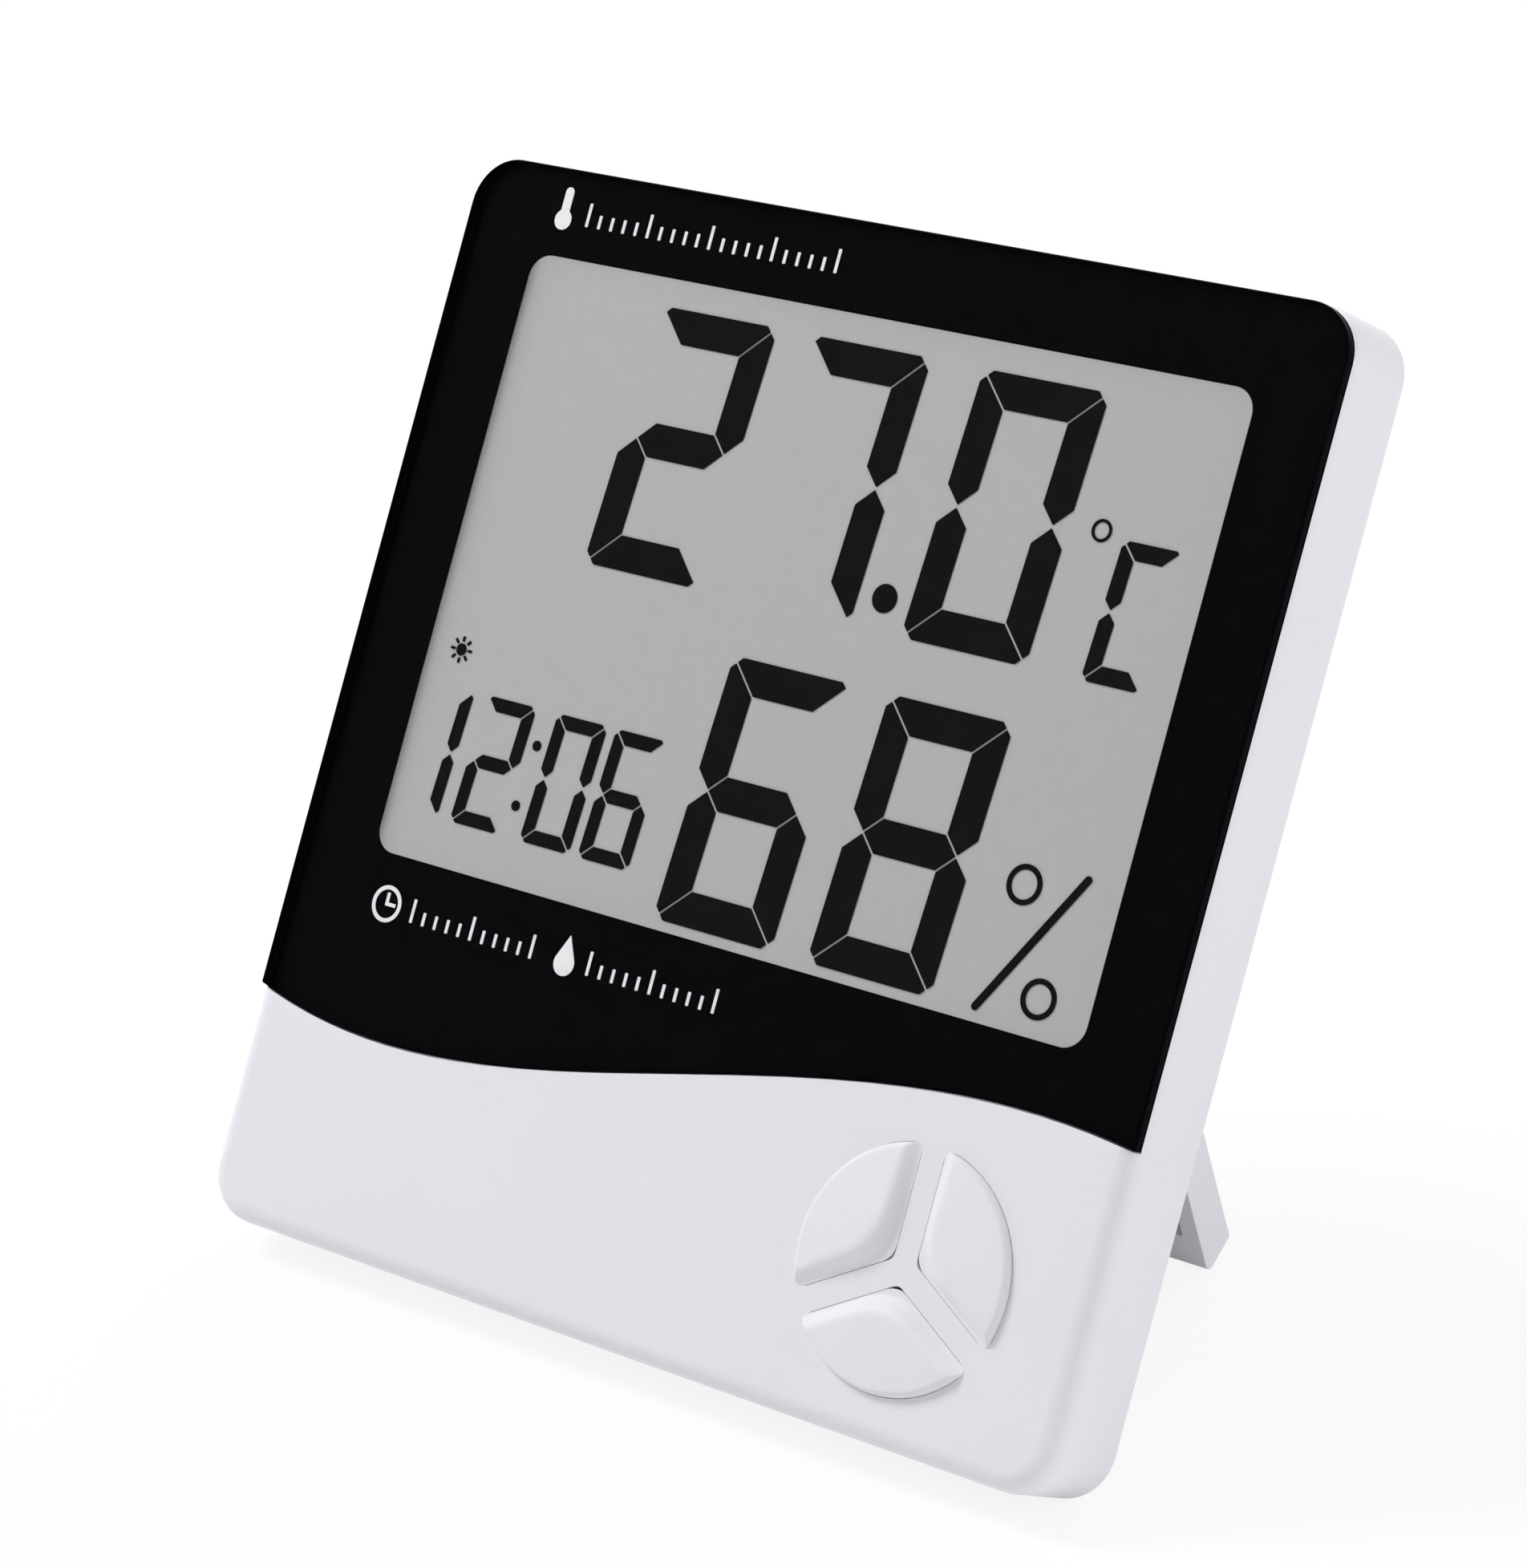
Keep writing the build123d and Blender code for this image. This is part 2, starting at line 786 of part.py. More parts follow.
def make_small_parts(places, size):
    width, depth, height = size
    parts = []
    for x, z in places:
        parts.append(block(x, x + width, board_back, board_back + depth, z, z + height))
    return group(parts)


def make_humidity_sensor():
    z = vent_z
    box = block(
        side_x - sensor_width / 2,
        side_x + sensor_width / 2,
        board_back,
        board_back + sensor_depth,
        z - sensor_height / 2,
        z + sensor_height / 2,
    )
    for step in (-1, 0, 1):
        slot = Pos(side_x, z + step * sensor_slot_pitch) * Rectangle(sensor_slot_length, sensor_slot)
        box -= slab(slot, board_back + sensor_depth / 2, board_back + sensor_depth)
    return box


def make_temperature_sensor():
    z = vent_z - sensor_height / 2 - 2 * bead_radius - sensor_slot
    bead_y = board_back + leg_length
    sensor = Pos(side_x, bead_y, z) * Sphere(bead_radius)
    for side in (-1, 1):
        sensor += rod(side_x + side * leg_spread, z, leg_radius, board_back, bead_y)
    return sensor


def make_buzzer_wires():
    disc_front = recess_floor - hump_wall - 2 * buzzer_sheet
    wires = []
    for side in (-1, 1):
        x = buzzer_x + side * ceramic_radius / 2
        middle = (disc_front + board_back) / 2
        points = [
            (x, disc_front, buzzer_z),
            (x, middle, buzzer_z),
            (x, middle, buzzer_z - buzzer_wire_drop),
            (x, board_back, buzzer_z - buzzer_wire_drop),
        ]
        wires.append(tube(points, buzzer_wire_radius, buzzer_wire_bend))
    return group(wires)


# Display marks, all drawn as flat outlines and fitted to the display
def fit(x, z):
    return x * window_width / art_width, window_z + z * window_height / art_height


def digit_outlines(x, z, width, height, stroke, corner, lit):
    w, h, t, c, g = width, height, stroke, corner, segment_gap
    m = h / 2
    top = [(c + g, h), (w - c - g, h), (w - c / 2 - g, h - c / 2), (w - t - g, h - t),
           (t + g, h - t), (c / 2 + g, h - c / 2)]
    right = [(w - c / 2, h - c / 2 - g), (w, h - c - g), (w, m + t / 2 + g), (w - t / 2, m + g),
             (w - t, m + t / 2 + g), (w - t, h - t - g)]
    bar = [(t / 2 + g, m), (t + g, m + t / 2), (w - t - g, m + t / 2), (w - t / 2 - g, m),
           (w - t - g, m - t / 2), (t + g, m - t / 2)]
    shapes = {
        "a": top,
        "b": right,
        "c": [(px, h - pz) for px, pz in right],
        "d": [(px, h - pz) for px, pz in top],
        "e": [(w - px, h - pz) for px, pz in right],
        "f": [(w - px, pz) for px, pz in right],
        "g": bar,
    }
    faces = []
    for name in lit:
        points = [fit(x + px + slant * pz, z + pz) for px, pz in shapes[name]]
        faces.append(make_face(Polyline(*points, close=True)))
    return faces


def ring(place, outer, stroke):
    return Pos(*place) * (Circle(outer) - Circle(outer - stroke))


def stroke_line(start, end, width):
    x0, z0 = start
    x1, z1 = end
    length = math.hypot(x1 - x0, z1 - z0)
    turn = math.degrees(math.atan2(z1 - z0, x1 - x0))
    return Pos((x0 + x1) / 2, (z0 + z1) / 2) * Rot(0, 0, turn) * SlotOverall(length + width, width)


def sun_faces():
    centre = Pos(*fit(sun_x, clock_base + sun_rise))
    faces = [centre * Circle(sun_radius)]
    for index in range(sun_rays):
        ray = Pos(sun_ray_orbit, 0) * Rectangle(sun_ray_length, sun_ray_width)
        faces.append(centre * Rot(0, 0, 360 * index / sun_rays) * ray)
    return faces


digits = {"0": "abcdef", "1": "bc", "2": "abged", "6": "acdefg", "7": "abc", "8": "abcdefg", "C": "adef"}


def line_faces(text, places, base, width, height, stroke, corner):
    faces = []
    for name, x in zip(text, places):
        faces += digit_outlines(x, base, width, height, stroke, corner, digits[name])
    return faces


def display_faces():
    big = (big_width, big_height, big_stroke, big_corner)
    small = (small_width, small_height, small_stroke, small_corner)
    unit = (unit_width, unit_height, unit_stroke, small_corner)
    faces = line_faces("270", temperature_digits_x, temperature_base, *big)
    faces += line_faces("68", humidity_digits_x, humidity_base, *big)
    faces += line_faces("1206", clock_digits_x, clock_base, *small)
    faces += line_faces("C", [unit_x], temperature_base, *unit)
    faces.append(ring(fit(degree_x, temperature_base + degree_rise), degree_radius, degree_stroke))
    faces.append(Pos(*fit(point_x, temperature_base + point_rise)) * Circle(point_radius))
    for x, rise in colon_dots:
        faces.append(Pos(*fit(x, clock_base + rise)) * Circle(colon_radius))
    for x, rise in percent_dots:
        faces.append(ring(fit(x, humidity_base + rise), percent_radius, percent_stroke))
    x0, rise0, x1, rise1 = percent_line
    line_end = fit(x1, humidity_base + rise1)
    faces.append(stroke_line(fit(x0, humidity_base + rise0), line_end, percent_line_width))
    return faces + sun_faces()


# Generic printed signs behind the lens: a thermometer, a dial and a drop, each beside a tick scale
def tick_faces(x, z, count):
    faces = []
    for index in range(count):
        tall = tick_short if index % tick_group else tick_long
        faces.append(Pos(x + index * tick_pitch, z + tick_lift + tall / 2) * Rectangle(tick_width, tall))
    return faces


def icon_faces():
    top = window_z + window_height / 2 + upper_sign_rise
    low = window_bottom - lower_sign_drop
    left = -window_width / 2
    thermometer_x = left + thermometer_side
    dial_x = left + dial_side
    drop_x = left + drop_side
    bulb = Pos(thermometer_x, top + thermometer_bulb) * Circle(thermometer_bulb)
    stem_z = top + thermometer_bulb + thermometer_stem / 2
    stem = Pos(thermometer_x, stem_z) * SlotOverall(thermometer_stem, thermometer_bulb, 90)
    faces = [bulb + stem]
    faces += tick_faces(left + thermometer_ticks_side, top, thermometer_ticks)
    dial_z = low + dial_radius
    faces.append(ring((dial_x, dial_z), dial_radius, dial_stroke))
    upright = Pos(dial_x, dial_z + dial_hand / 2) * Rectangle(dial_hand_width, dial_hand)
    faces.append(upright + Pos(dial_x + dial_hand / 2, dial_z) * Rectangle(dial_hand, dial_hand_width))
    faces += tick_faces(left + dial_ticks_side, low, lower_ticks)
    drop_z = low + drop_radius
    foot_left = (drop_x - drop_radius, drop_z)
    foot_right = (drop_x + drop_radius, drop_z)
    tip = make_face(Polyline(foot_left, (drop_x, low + drop_height), foot_right, close=True))
    faces.append(Pos(drop_x, drop_z) * Circle(drop_radius) + tip)
    faces += tick_faces(left + drop_ticks_side, low, lower_ticks)
    return faces


def make_mask():
    film = slab(lens_outline(lens_gap, lens_inset), mask_front, pocket_depth)
    window = centred(window_width, window_height, window_corner, window_z)
    return film - slab(window, 0, front_wall)


def glass_face(bottom):
    return centred(glass_width, glass_top - bottom, glass_corner, (glass_top + bottom) / 2)


def make_foam_pads():
    pad_top = board_top - pad_drop
    board_pad = block(-pad_half_length, pad_half_length, lcd_back, board_front,
                      pad_top - pad_height, pad_top)
    bay_pad = block(-bay_length / 3, bay_length / 3, lcd_back, board_front,
                    bay_z - pad_height / 2, bay_z + pad_height / 2)
    return group([board_pad, bay_pad])


nodes = {
    "front_case": make_front_case(),
    "rear_case": make_rear_case(),
    "display_lens": slab(lens_outline(lens_gap, lens_inset), 0, lens_thickness),
    "lens_mask": make_mask(),
    "lens_icons": group([slab(face, lens_thickness, mask_front) for face in icon_faces()]),
    "lcd_front_polarizer": slab(glass_face(glass_bottom), pocket_depth, front_glass_y),
    "lcd_front_glass": slab(glass_face(ledge_bottom), front_glass_y, cell_y),
    "lcd_segments": group([slab(face, cell_y, rear_glass_y) for face in display_faces()]),
    "lcd_rear_glass": slab(glass_face(glass_bottom), rear_glass_y, reflector_y),
    "lcd_reflector": slab(glass_face(glass_bottom), reflector_y, lcd_back),
    "zebra_strip": block(-zebra_length / 2, zebra_length / 2, cell_y, board_front,
                         ledge_bottom + zebra_inset, ledge_bottom + zebra_inset + zebra_thickness),
    "lcd_foam_pads": make_foam_pads(),
    "main_board": make_board(),
    "chip_cap": make_chip_cap(),
    "clock_crystal": rod_across(crystal_x, crystal_x + crystal_length, board_back + crystal_radius,
                                crystal_z, crystal_radius),
    "board_capacitors": make_small_parts(capacitor_places, capacitor_size),
    "board_resistors": make_small_parts(resistor_places, resistor_size),
    "humidity_sensor": make_humidity_sensor(),
    "temperature_sensor": make_temperature_sensor(),
    "buzzer_disc": rod(buzzer_x, buzzer_z, buzzer_radius,
                       recess_floor - hump_wall - buzzer_sheet, recess_floor - hump_wall),
    "buzzer_ceramic": rod(buzzer_x, buzzer_z, ceramic_radius,
                          recess_floor - hump_wall - 2 * buzzer_sheet,
                          recess_floor - hump_wall - buzzer_sheet),
    "buzzer_wires": make_buzzer_wires(),
    "battery_cell": make_battery(),
    "battery_spring": make_spring(),
    "battery_contacts": group([make_contact(-1), make_contact(1)]),
    "battery_wires": group([make_battery_wire(-1), make_battery_wire(1)]),
    "stand": make_stand(),
    "stand_hinge_pin": make_pin(),
    "battery_door": make_door(),
    "case_screws": group([
        make_screw(x, z, case_screw_radius, case_screw_head, case_screw_head_height,
                   rim_depth - case_screw_counterbore, front_wall + 2 * screw_tip_gap)
        for x, z in case_screw_places
    ]),
    "board_screws": group([
        make_screw(x, z, board_screw_radius, board_screw_head, board_screw_head_height,
                   board_back, front_wall + 2 * screw_tip_gap)
        for x, z in board_screw_places
    ]),
}

key_switch_places = [key_stem_place(turn) for turn in key_turns.values()]
nodes["key_switches"] = group([make_switch(x, z, board_front, -1) for x, z in key_switch_places])
nodes["rear_key_switches"] = group([make_switch(-side_x, z, board_back, 1) for z in rear_keys.values()])
for index, (name, turn) in enumerate(key_turns.items()):
    nodes["button_" + name] = make_key(index, turn)
    nodes["plunger_" + name] = make_plunger(*key_stem_place(turn), board_front, -1)
for name, z in rear_keys.items():
    nodes["rear_key_" + name] = make_rear_key(z)
    nodes["rear_plunger_" + name] = make_plunger(-side_x, z, board_back, 1)

# Lean: the clock rests on its rear bottom edge and on the tip of the stand, both rounded alike
tip_half_angle = math.atan2(stand_thickness, stand_tip_drop) / 2
tip_down = stand_length - foot_round / math.tan(tip_half_angle)
tip_across = foot_round - half_stand
tip_y = hinge_y + tip_down * math.sin(open_angle) + tip_across * math.cos(open_angle)
tip_z = hinge_z - tip_down * math.cos(open_angle) + tip_across * math.sin(open_angle)
lean = math.degrees(math.atan2(tip_z - foot_round, tip_y - rim_depth + foot_round))

leaned = {name: Rot(-lean, 0, 0) * shape for name, shape in nodes.items()}
box = group(leaned.values()).bounding_box()
shift = Pos(-box.center().X, -box.center().Y, -box.min.Z)

os.makedirs("parts", exist_ok=True)
for name, shape in leaned.items():
    export_step(shift * shape, f"parts/{name}.step")

place = shift * Rot(-lean, 0, 0)


def tell(label, x, y, z):
    spot = (place * Pos(x, y, z)).position
    print(label, [round(value / 1000, 6) for value in (spot.X, spot.Y, spot.Z)])


print("lean", round(lean, 4), "box", box.size)
print("back direction", round(math.cos(math.radians(lean)), 6), round(-math.sin(math.radians(lean)), 6))
tell("case origin", 0, 0, 0)
tell("stand hinge", 0, hinge_y, hinge_z)
tell("keyhole", 0, body_depth - hump_wall / 2, keyhole_z)
tell("back face", door_half, body_depth, keyhole_z)
tell("bottom face", 0, rim_depth / 2, 0)
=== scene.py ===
import json
import math

import bmesh
import bpy
from mathutils import Matrix, Vector


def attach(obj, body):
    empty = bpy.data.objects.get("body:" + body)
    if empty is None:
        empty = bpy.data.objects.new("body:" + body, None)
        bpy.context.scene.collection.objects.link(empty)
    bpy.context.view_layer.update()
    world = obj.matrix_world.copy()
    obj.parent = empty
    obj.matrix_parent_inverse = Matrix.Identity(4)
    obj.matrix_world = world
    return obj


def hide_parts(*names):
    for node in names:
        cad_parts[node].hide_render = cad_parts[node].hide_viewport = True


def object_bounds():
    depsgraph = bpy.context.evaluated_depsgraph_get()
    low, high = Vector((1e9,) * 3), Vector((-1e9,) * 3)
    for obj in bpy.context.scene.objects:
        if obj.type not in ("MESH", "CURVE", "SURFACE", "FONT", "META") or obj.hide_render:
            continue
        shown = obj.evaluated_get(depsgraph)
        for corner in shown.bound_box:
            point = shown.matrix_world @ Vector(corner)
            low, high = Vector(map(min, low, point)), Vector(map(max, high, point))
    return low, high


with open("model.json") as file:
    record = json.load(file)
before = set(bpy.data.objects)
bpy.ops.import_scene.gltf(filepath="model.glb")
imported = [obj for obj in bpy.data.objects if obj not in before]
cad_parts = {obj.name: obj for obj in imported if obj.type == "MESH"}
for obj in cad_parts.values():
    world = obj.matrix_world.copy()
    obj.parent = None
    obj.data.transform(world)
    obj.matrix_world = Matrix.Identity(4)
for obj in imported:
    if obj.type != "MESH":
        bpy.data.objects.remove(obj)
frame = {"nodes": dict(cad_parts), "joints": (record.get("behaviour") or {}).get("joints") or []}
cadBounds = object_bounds()
nodes = frame["nodes"]
scene = bpy.context.scene
scene.view_settings.view_transform = "Standard"
mm = 0.001
print("frame loaded:", len(nodes), "nodes")


# The clock's own upright frame: x right, y back from the front face, z up from the bottom edge, in mm
def jointAxis(name):
    return Vector(next(joint["axis"] for joint in frame["joints"] if joint["name"] == name))


caseBack = jointAxis("press_button_left")
caseUp = jointAxis("battery_door_slide")
leanTurn = Matrix((caseUp.cross(-caseBack), caseBack, caseUp)).transposed()
frontCorners = [leanTurn.transposed() @ v.co for v in nodes["front_case"].data.vertices]
caseOrigin = leanTurn @ Vector((0, min(c.y for c in frontCorners), min(c.z for c in frontCorners)))
casePlace = Matrix.Translation(caseOrigin) @ leanTurn.to_4x4() @ Matrix.Scale(mm, 4)
toCase = casePlace.inverted()


def caseBox(*names):
    spots = [toCase @ v.co for name in names for v in nodes[name].data.vertices]
    low = Vector([min(spot[axis] for spot in spots) for axis in range(3)])
    high = Vector([max(spot[axis] for spot in spots) for axis in range(3)])
    return low, high


# Key group, measured over the three keys' flanges
keyTurns = {"left": 150, "right": 30, "bottom": 270}
keyLow, keyHigh = caseBox(*("button_" + name for name in keyTurns))
flangeRadius = (keyHigh.x - keyLow.x) / 2
keyCentre = ((keyHigh.x + keyLow.x) / 2, keyLow.z + flangeRadius)

# Materials: every pattern reads Object coordinates, which are metres in the shared frame
patchSettings = {"detail": 3.0, "grainDetail": 2.0, "darkEnd": 0.3, "lightEnd": 0.7, "roughScale": 2.3}
clearSettings = {"patch": 60, "roughSpread": 0.04, "specular": 0.5}


def newFinish(name, **sockets):
    finish = bpy.data.materials.new(name)
    finish.use_nodes = True
    tree = finish.node_tree
    shader = tree.nodes["Principled BSDF"]
    for socket, value in sockets.items():
        shader.inputs[socket].default_value = value
    return finish, tree, shader


def noiseField(tree, scale, detail=patchSettings["detail"]):
    where = tree.nodes.new("ShaderNodeTexCoord")
    field = tree.nodes.new("ShaderNodeTexNoise")
    field.inputs["Scale"].default_value = scale
    field.inputs["Detail"].default_value = detail
    tree.links.new(where.outputs["Object"], field.inputs["Vector"])
    return field.outputs["Fac"]


def tint(tree, shader, field, dark, light):
    ramp = tree.nodes.new("ShaderNodeValToRGB")
    ends = ((patchSettings["darkEnd"], dark), (patchSettings["lightEnd"], light))
    for element, (position, colour) in zip(ramp.color_ramp.elements, ends):
        element.position = position
        element.color = (*colour, 1)
    tree.links.new(field, ramp.inputs["Fac"])
    tree.links.new(ramp.outputs["Color"], shader.inputs["Base Color"])


def vary(tree, shader, field, socket, low, high):
    spread = tree.nodes.new("ShaderNodeMapRange")
    spread.inputs["To Min"].default_value = low
    spread.inputs["To Max"].default_value = high
    tree.links.new(field, spread.inputs["Value"])
    tree.links.new(spread.outputs["Result"], shader.inputs[socket])


def grain(tree, shader, field, depth):
    bump = tree.nodes.new("ShaderNodeBump")
    bump.inputs["Distance"].default_value = depth
    tree.links.new(field, bump.inputs["Height"])
    tree.links.new(bump.outputs["Normal"], shader.inputs["Normal"])


def plainFinish(name, dark, light, patch, rough, grainScale=0, grainDepth=0.0, **sockets):
    finish, tree, shader = newFinish(name, **sockets)
    tint(tree, shader, noiseField(tree, patch), dark, light)
    vary(tree, shader, noiseField(tree, patch * patchSettings["roughScale"]), "Roughness", *rough)
    if grainScale:
        grain(tree, shader, noiseField(tree, grainScale, patchSettings["grainDetail"]), grainDepth)
    return finish


finishes = {
    "casePlastic": plainFinish("casePlastic", (0.768, 0.741, 0.798), (0.788, 0.761, 0.818), 45,
                               (0.42, 0.5), 5200, 0.000012),
    "keyPlastic": plainFinish("keyPlastic", (0.774, 0.747, 0.804), (0.792, 0.765, 0.822), 70,
                              (0.54, 0.62), 5200, 0.000010),
    "lensBlack": plainFinish("lensBlack", (0.0004, 0.0004, 0.0009), (0.0009, 0.0009, 0.0016), 300,
                             (0.25, 0.35), **{"Specular IOR Level": 0.01}),
    "displayInk": plainFinish("displayInk", (0.0050, 0.0050, 0.0056), (0.0066, 0.0066, 0.0074), 400,
                              (0.5, 0.6), **{"Specular IOR Level": 0.01}),
    "displayBack": plainFinish("displayBack", (0.436, 0.436, 0.440), (0.450, 0.450, 0.453), 900,
                               (0.6, 0.7), 9000, 0.000006),
    "printWhite": plainFinish("printWhite", (0.80, 0.80, 0.82), (0.86, 0.86, 0.88), 900, (0.5, 0.6)),
    "rubberDark": plainFinish("rubberDark", (0.03, 0.03, 0.03), (0.05, 0.05, 0.05), 900, (0.7, 0.8)),
    "foamGrey": plainFinish("foamGrey", (0.12, 0.12, 0.12), (0.2, 0.2, 0.2), 1800, (0.9, 1.0),
                            2500, 0.0001),
    "boardGreen": plainFinish("boardGreen", (0.012, 0.10, 0.035), (0.02, 0.14, 0.05), 260, (0.3, 0.4)),
    "blackResin": plainFinish("blackResin", (0.012, 0.012, 0.012), (0.02, 0.02, 0.02), 500, (0.35, 0.5)),
    "ceramicTan": plainFinish("ceramicTan", (0.42, 0.29, 0.14), (0.5, 0.36, 0.18), 900, (0.5, 0.6)),
    "sensorWhite": plainFinish("sensorWhite", (0.66, 0.66, 0.63), (0.74, 0.74, 0.71), 500, (0.4, 0.5)),
    "platedSteel": plainFinish("platedSteel", (0.5, 0.5, 0.51), (0.6, 0.6, 0.61), 700, (0.22, 0.36),
                               Metallic=1.0),
    "brassSheet": plainFinish("brassSheet", (0.62, 0.44, 0.16), (0.72, 0.53, 0.22), 500, (0.25, 0.4),
                              Metallic=1.0),
    "wireSleeve": plainFinish("wireSleeve", (0.35, 0.015, 0.012), (0.45, 0.025, 0.02), 600, (0.45, 0.55)),
    "cellWrap": plainFinish("cellWrap", (0.02, 0.03, 0.045), (0.03, 0.045, 0.065), 200, (0.25, 0.35)),
}


def clearFinish(name, colour, alpha, rough):
    sockets = {"Base Color": colour, "Alpha": alpha, "Specular IOR Level": clearSettings["specular"]}
    finish, tree, shader = newFinish(name, **sockets)
    patch, roughest = clearSettings["patch"], rough + clearSettings["roughSpread"]
    vary(tree, shader, noiseField(tree, patch), "Roughness", rough, roughest)
    finish.surface_render_method = "BLENDED"
    return finish


finishes["lensClear"] = clearFinish("lensClear", (0.01, 0.01, 0.012, 1), 0.02, 0.06)
finishes["displayGlass"] = clearFinish("displayGlass", (0.7, 0.72, 0.72, 1), 0.03, 0.08)
print("finishes made:", len(finishes))

nodeFinishes = {
    "casePlastic": ["front_case", "rear_case", "stand", "battery_door"],
    "keyPlastic": ["button_left", "button_right", "button_bottom", "rear_key_unit", "rear_key_reset"],
    "lensClear": ["display_lens"],
    "lensBlack": ["lens_mask"],
    "printWhite": ["lens_icons"],
    "displayGlass": ["lcd_front_polarizer", "lcd_front_glass", "lcd_rear_glass"],
    "displayInk": ["lcd_segments"],
    "displayBack": ["lcd_reflector"],
    "rubberDark": ["zebra_strip"],
    "foamGrey": ["lcd_foam_pads"],
    "boardGreen": ["main_board"],
    "blackResin": ["chip_cap", "key_switches", "rear_key_switches", "board_resistors"],
    "platedSteel": ["clock_crystal", "battery_spring", "battery_contacts", "stand_hinge_pin",
                    "case_screws", "board_screws"],
    "ceramicTan": ["board_capacitors", "temperature_sensor"],
    "sensorWhite": ["humidity_sensor", "plunger_left", "plunger_right", "plunger_bottom",
                    "rear_plunger_unit", "rear_plunger_reset", "buzzer_ceramic"],
    "brassSheet": ["buzzer_disc"],
    "wireSleeve": ["battery_wires", "buzzer_wires"],
    "cellWrap": ["battery_cell"],
}
for finishName, members in nodeFinishes.items():
    for member in members:
        nodes[member].data.materials.clear()
        nodes[member].data.materials.append(finishes[finishName])


# Pieces
def evaluatedMesh(piece):
    graph = bpy.context.evaluated_depsgraph_get()
    return bpy.data.meshes.new_from_object(piece.evaluated_get(graph))


def addPiece(name, mesh, finishName):
    mesh.materials.clear()
    mesh.materials.append(finishes[finishName])
    piece = bpy.data.objects.new(name, mesh)
    scene.collection.objects.link(piece)
    return piece


def meshFromBm(name, bm, place=None):
    mesh = bpy.data.meshes.new(name)
    if place is not None:
        bm.transform(place)
    bm.to_mesh(mesh)
    bm.free()
    return mesh


def settle(piece, modifiers):
    for kind, values in modifiers:
        modifier = piece.modifiers.new(kind, kind)
        for key, value in values.items():
            setattr(modifier, key, value)
    mesh = evaluatedMesh(piece)
    piece.modifiers.clear()
    piece.data = mesh
    return piece


def roundedRect(halfWidth, halfHeight, corner, steps):
    points = []
    for turn, signX, signZ in ((0, 1, 1), (90, -1, 1), (180, -1, -1), (270, 1, -1)):
        for step in range(steps + 1):
            angle = math.radians(turn + 90 * step / steps)
            points.append((signX * (halfWidth - corner) + corner * math.cos(angle),
                           signZ * (halfHeight - corner) + corner * math.sin(angle)))
    return points


def bandFaces(bm, near, far):
    for step in range(len(near)):
        after = (step + 1) % len(near)
        bm.faces.new((near[step], near[after], far[after], far[step]))


def prism(points, front, back):
    bm = bmesh.new()
    fore = [bm.verts.new((x, front, z)) for x, z in points]
    rear = [bm.verts.new((x, back, z)) for x, z in points]
    bm.faces.new(fore)
    bm.faces.new(rear)
    bandFaces(bm, fore, rear)
    bmesh.ops.recalc_face_normals(bm, faces=bm.faces)
    return bm


def ringPrism(outer, inner, front, back):
    bm = bmesh.new()
    loops = []
    for outline, depth in ((outer, front), (outer, back), (inner, back), (inner, front)):
        loops.append([bm.verts.new((x, depth, z)) for x, z in outline])
    for near, far in zip(loops, loops[1:] + loops[:1]):
        bandFaces(bm, near, far)
    bmesh.ops.recalc_face_normals(bm, faces=bm.faces)
    return bm


def smoothMesh(mesh, sharpAngle):
    for polygon in mesh.polygons:
        polygon.use_smooth = True
    mesh.set_sharp_from_angle(angle=math.radians(sharpAngle))


# How a node's mesh is merged and finished: the weld in metres, the lip's depth in mm, angles in degrees
mergeSettings = {"weld": 1e-6, "flatAngle": 0.3, "smoothAngle": 32, "bevelAngle": 45, "bevelSteps": 2,
                 "lipSteps": 4}
lipLimits = {"wallFacing": 0.05, "frontFacing": 0.999, "depth": 0.01}
keepSharp = ("WEIGHTED_NORMAL", {"keep_sharp": True})


def bevelStep(width, angle):
    return ("BEVEL", {"width": width * mm, "segments": mergeSettings["bevelSteps"], "limit_method": "ANGLE",
                      "angle_limit": math.radians(angle)})


def booleanStep(helper, operation):
    return ("BOOLEAN", {"object": helper, "operation": operation, "solver": "EXACT"})


# An edge between the front face and a wall that goes straight back from it
def lipKind(edge):
    if len(edge.link_faces) != 2:
        return None
    turns = sorted(abs(face.normal.dot(caseBack)) for face in edge.link_faces)
    spot = toCase @ ((edge.verts[0].co + edge.verts[1].co) / 2)
    if turns[0] > lipLimits["wallFacing"] or turns[1] < lipLimits["frontFacing"]:
        return None
    if abs(spot.y) > lipLimits["depth"]:
        return None
    fromKeys = math.hypot(spot.x - keyCentre[0], spot.z - keyCentre[1])
    return "keyLip" if fromKeys < flangeRadius else "waveLip"


def dissolveFlat(bm):
    flatAngle = math.radians(mergeSettings["flatAngle"])
    bmesh.ops.dissolve_limit(bm, angle_limit=flatAngle, verts=bm.verts, edges=bm.edges)


def cleanMesh(mesh, least):
    bm = bmesh.new()
    bm.from_mesh(mesh)
    bmesh.ops.remove_doubles(bm, verts=bm.verts, dist=least)
    bmesh.ops.dissolve_degenerate(bm, edges=bm.edges, dist=least)
    dissolveFlat(bm)
    bmesh.ops.triangulate(bm, faces=[face for face in bm.faces if len(face.verts) > 4])
    bm.to_mesh(mesh)
    bm.free()


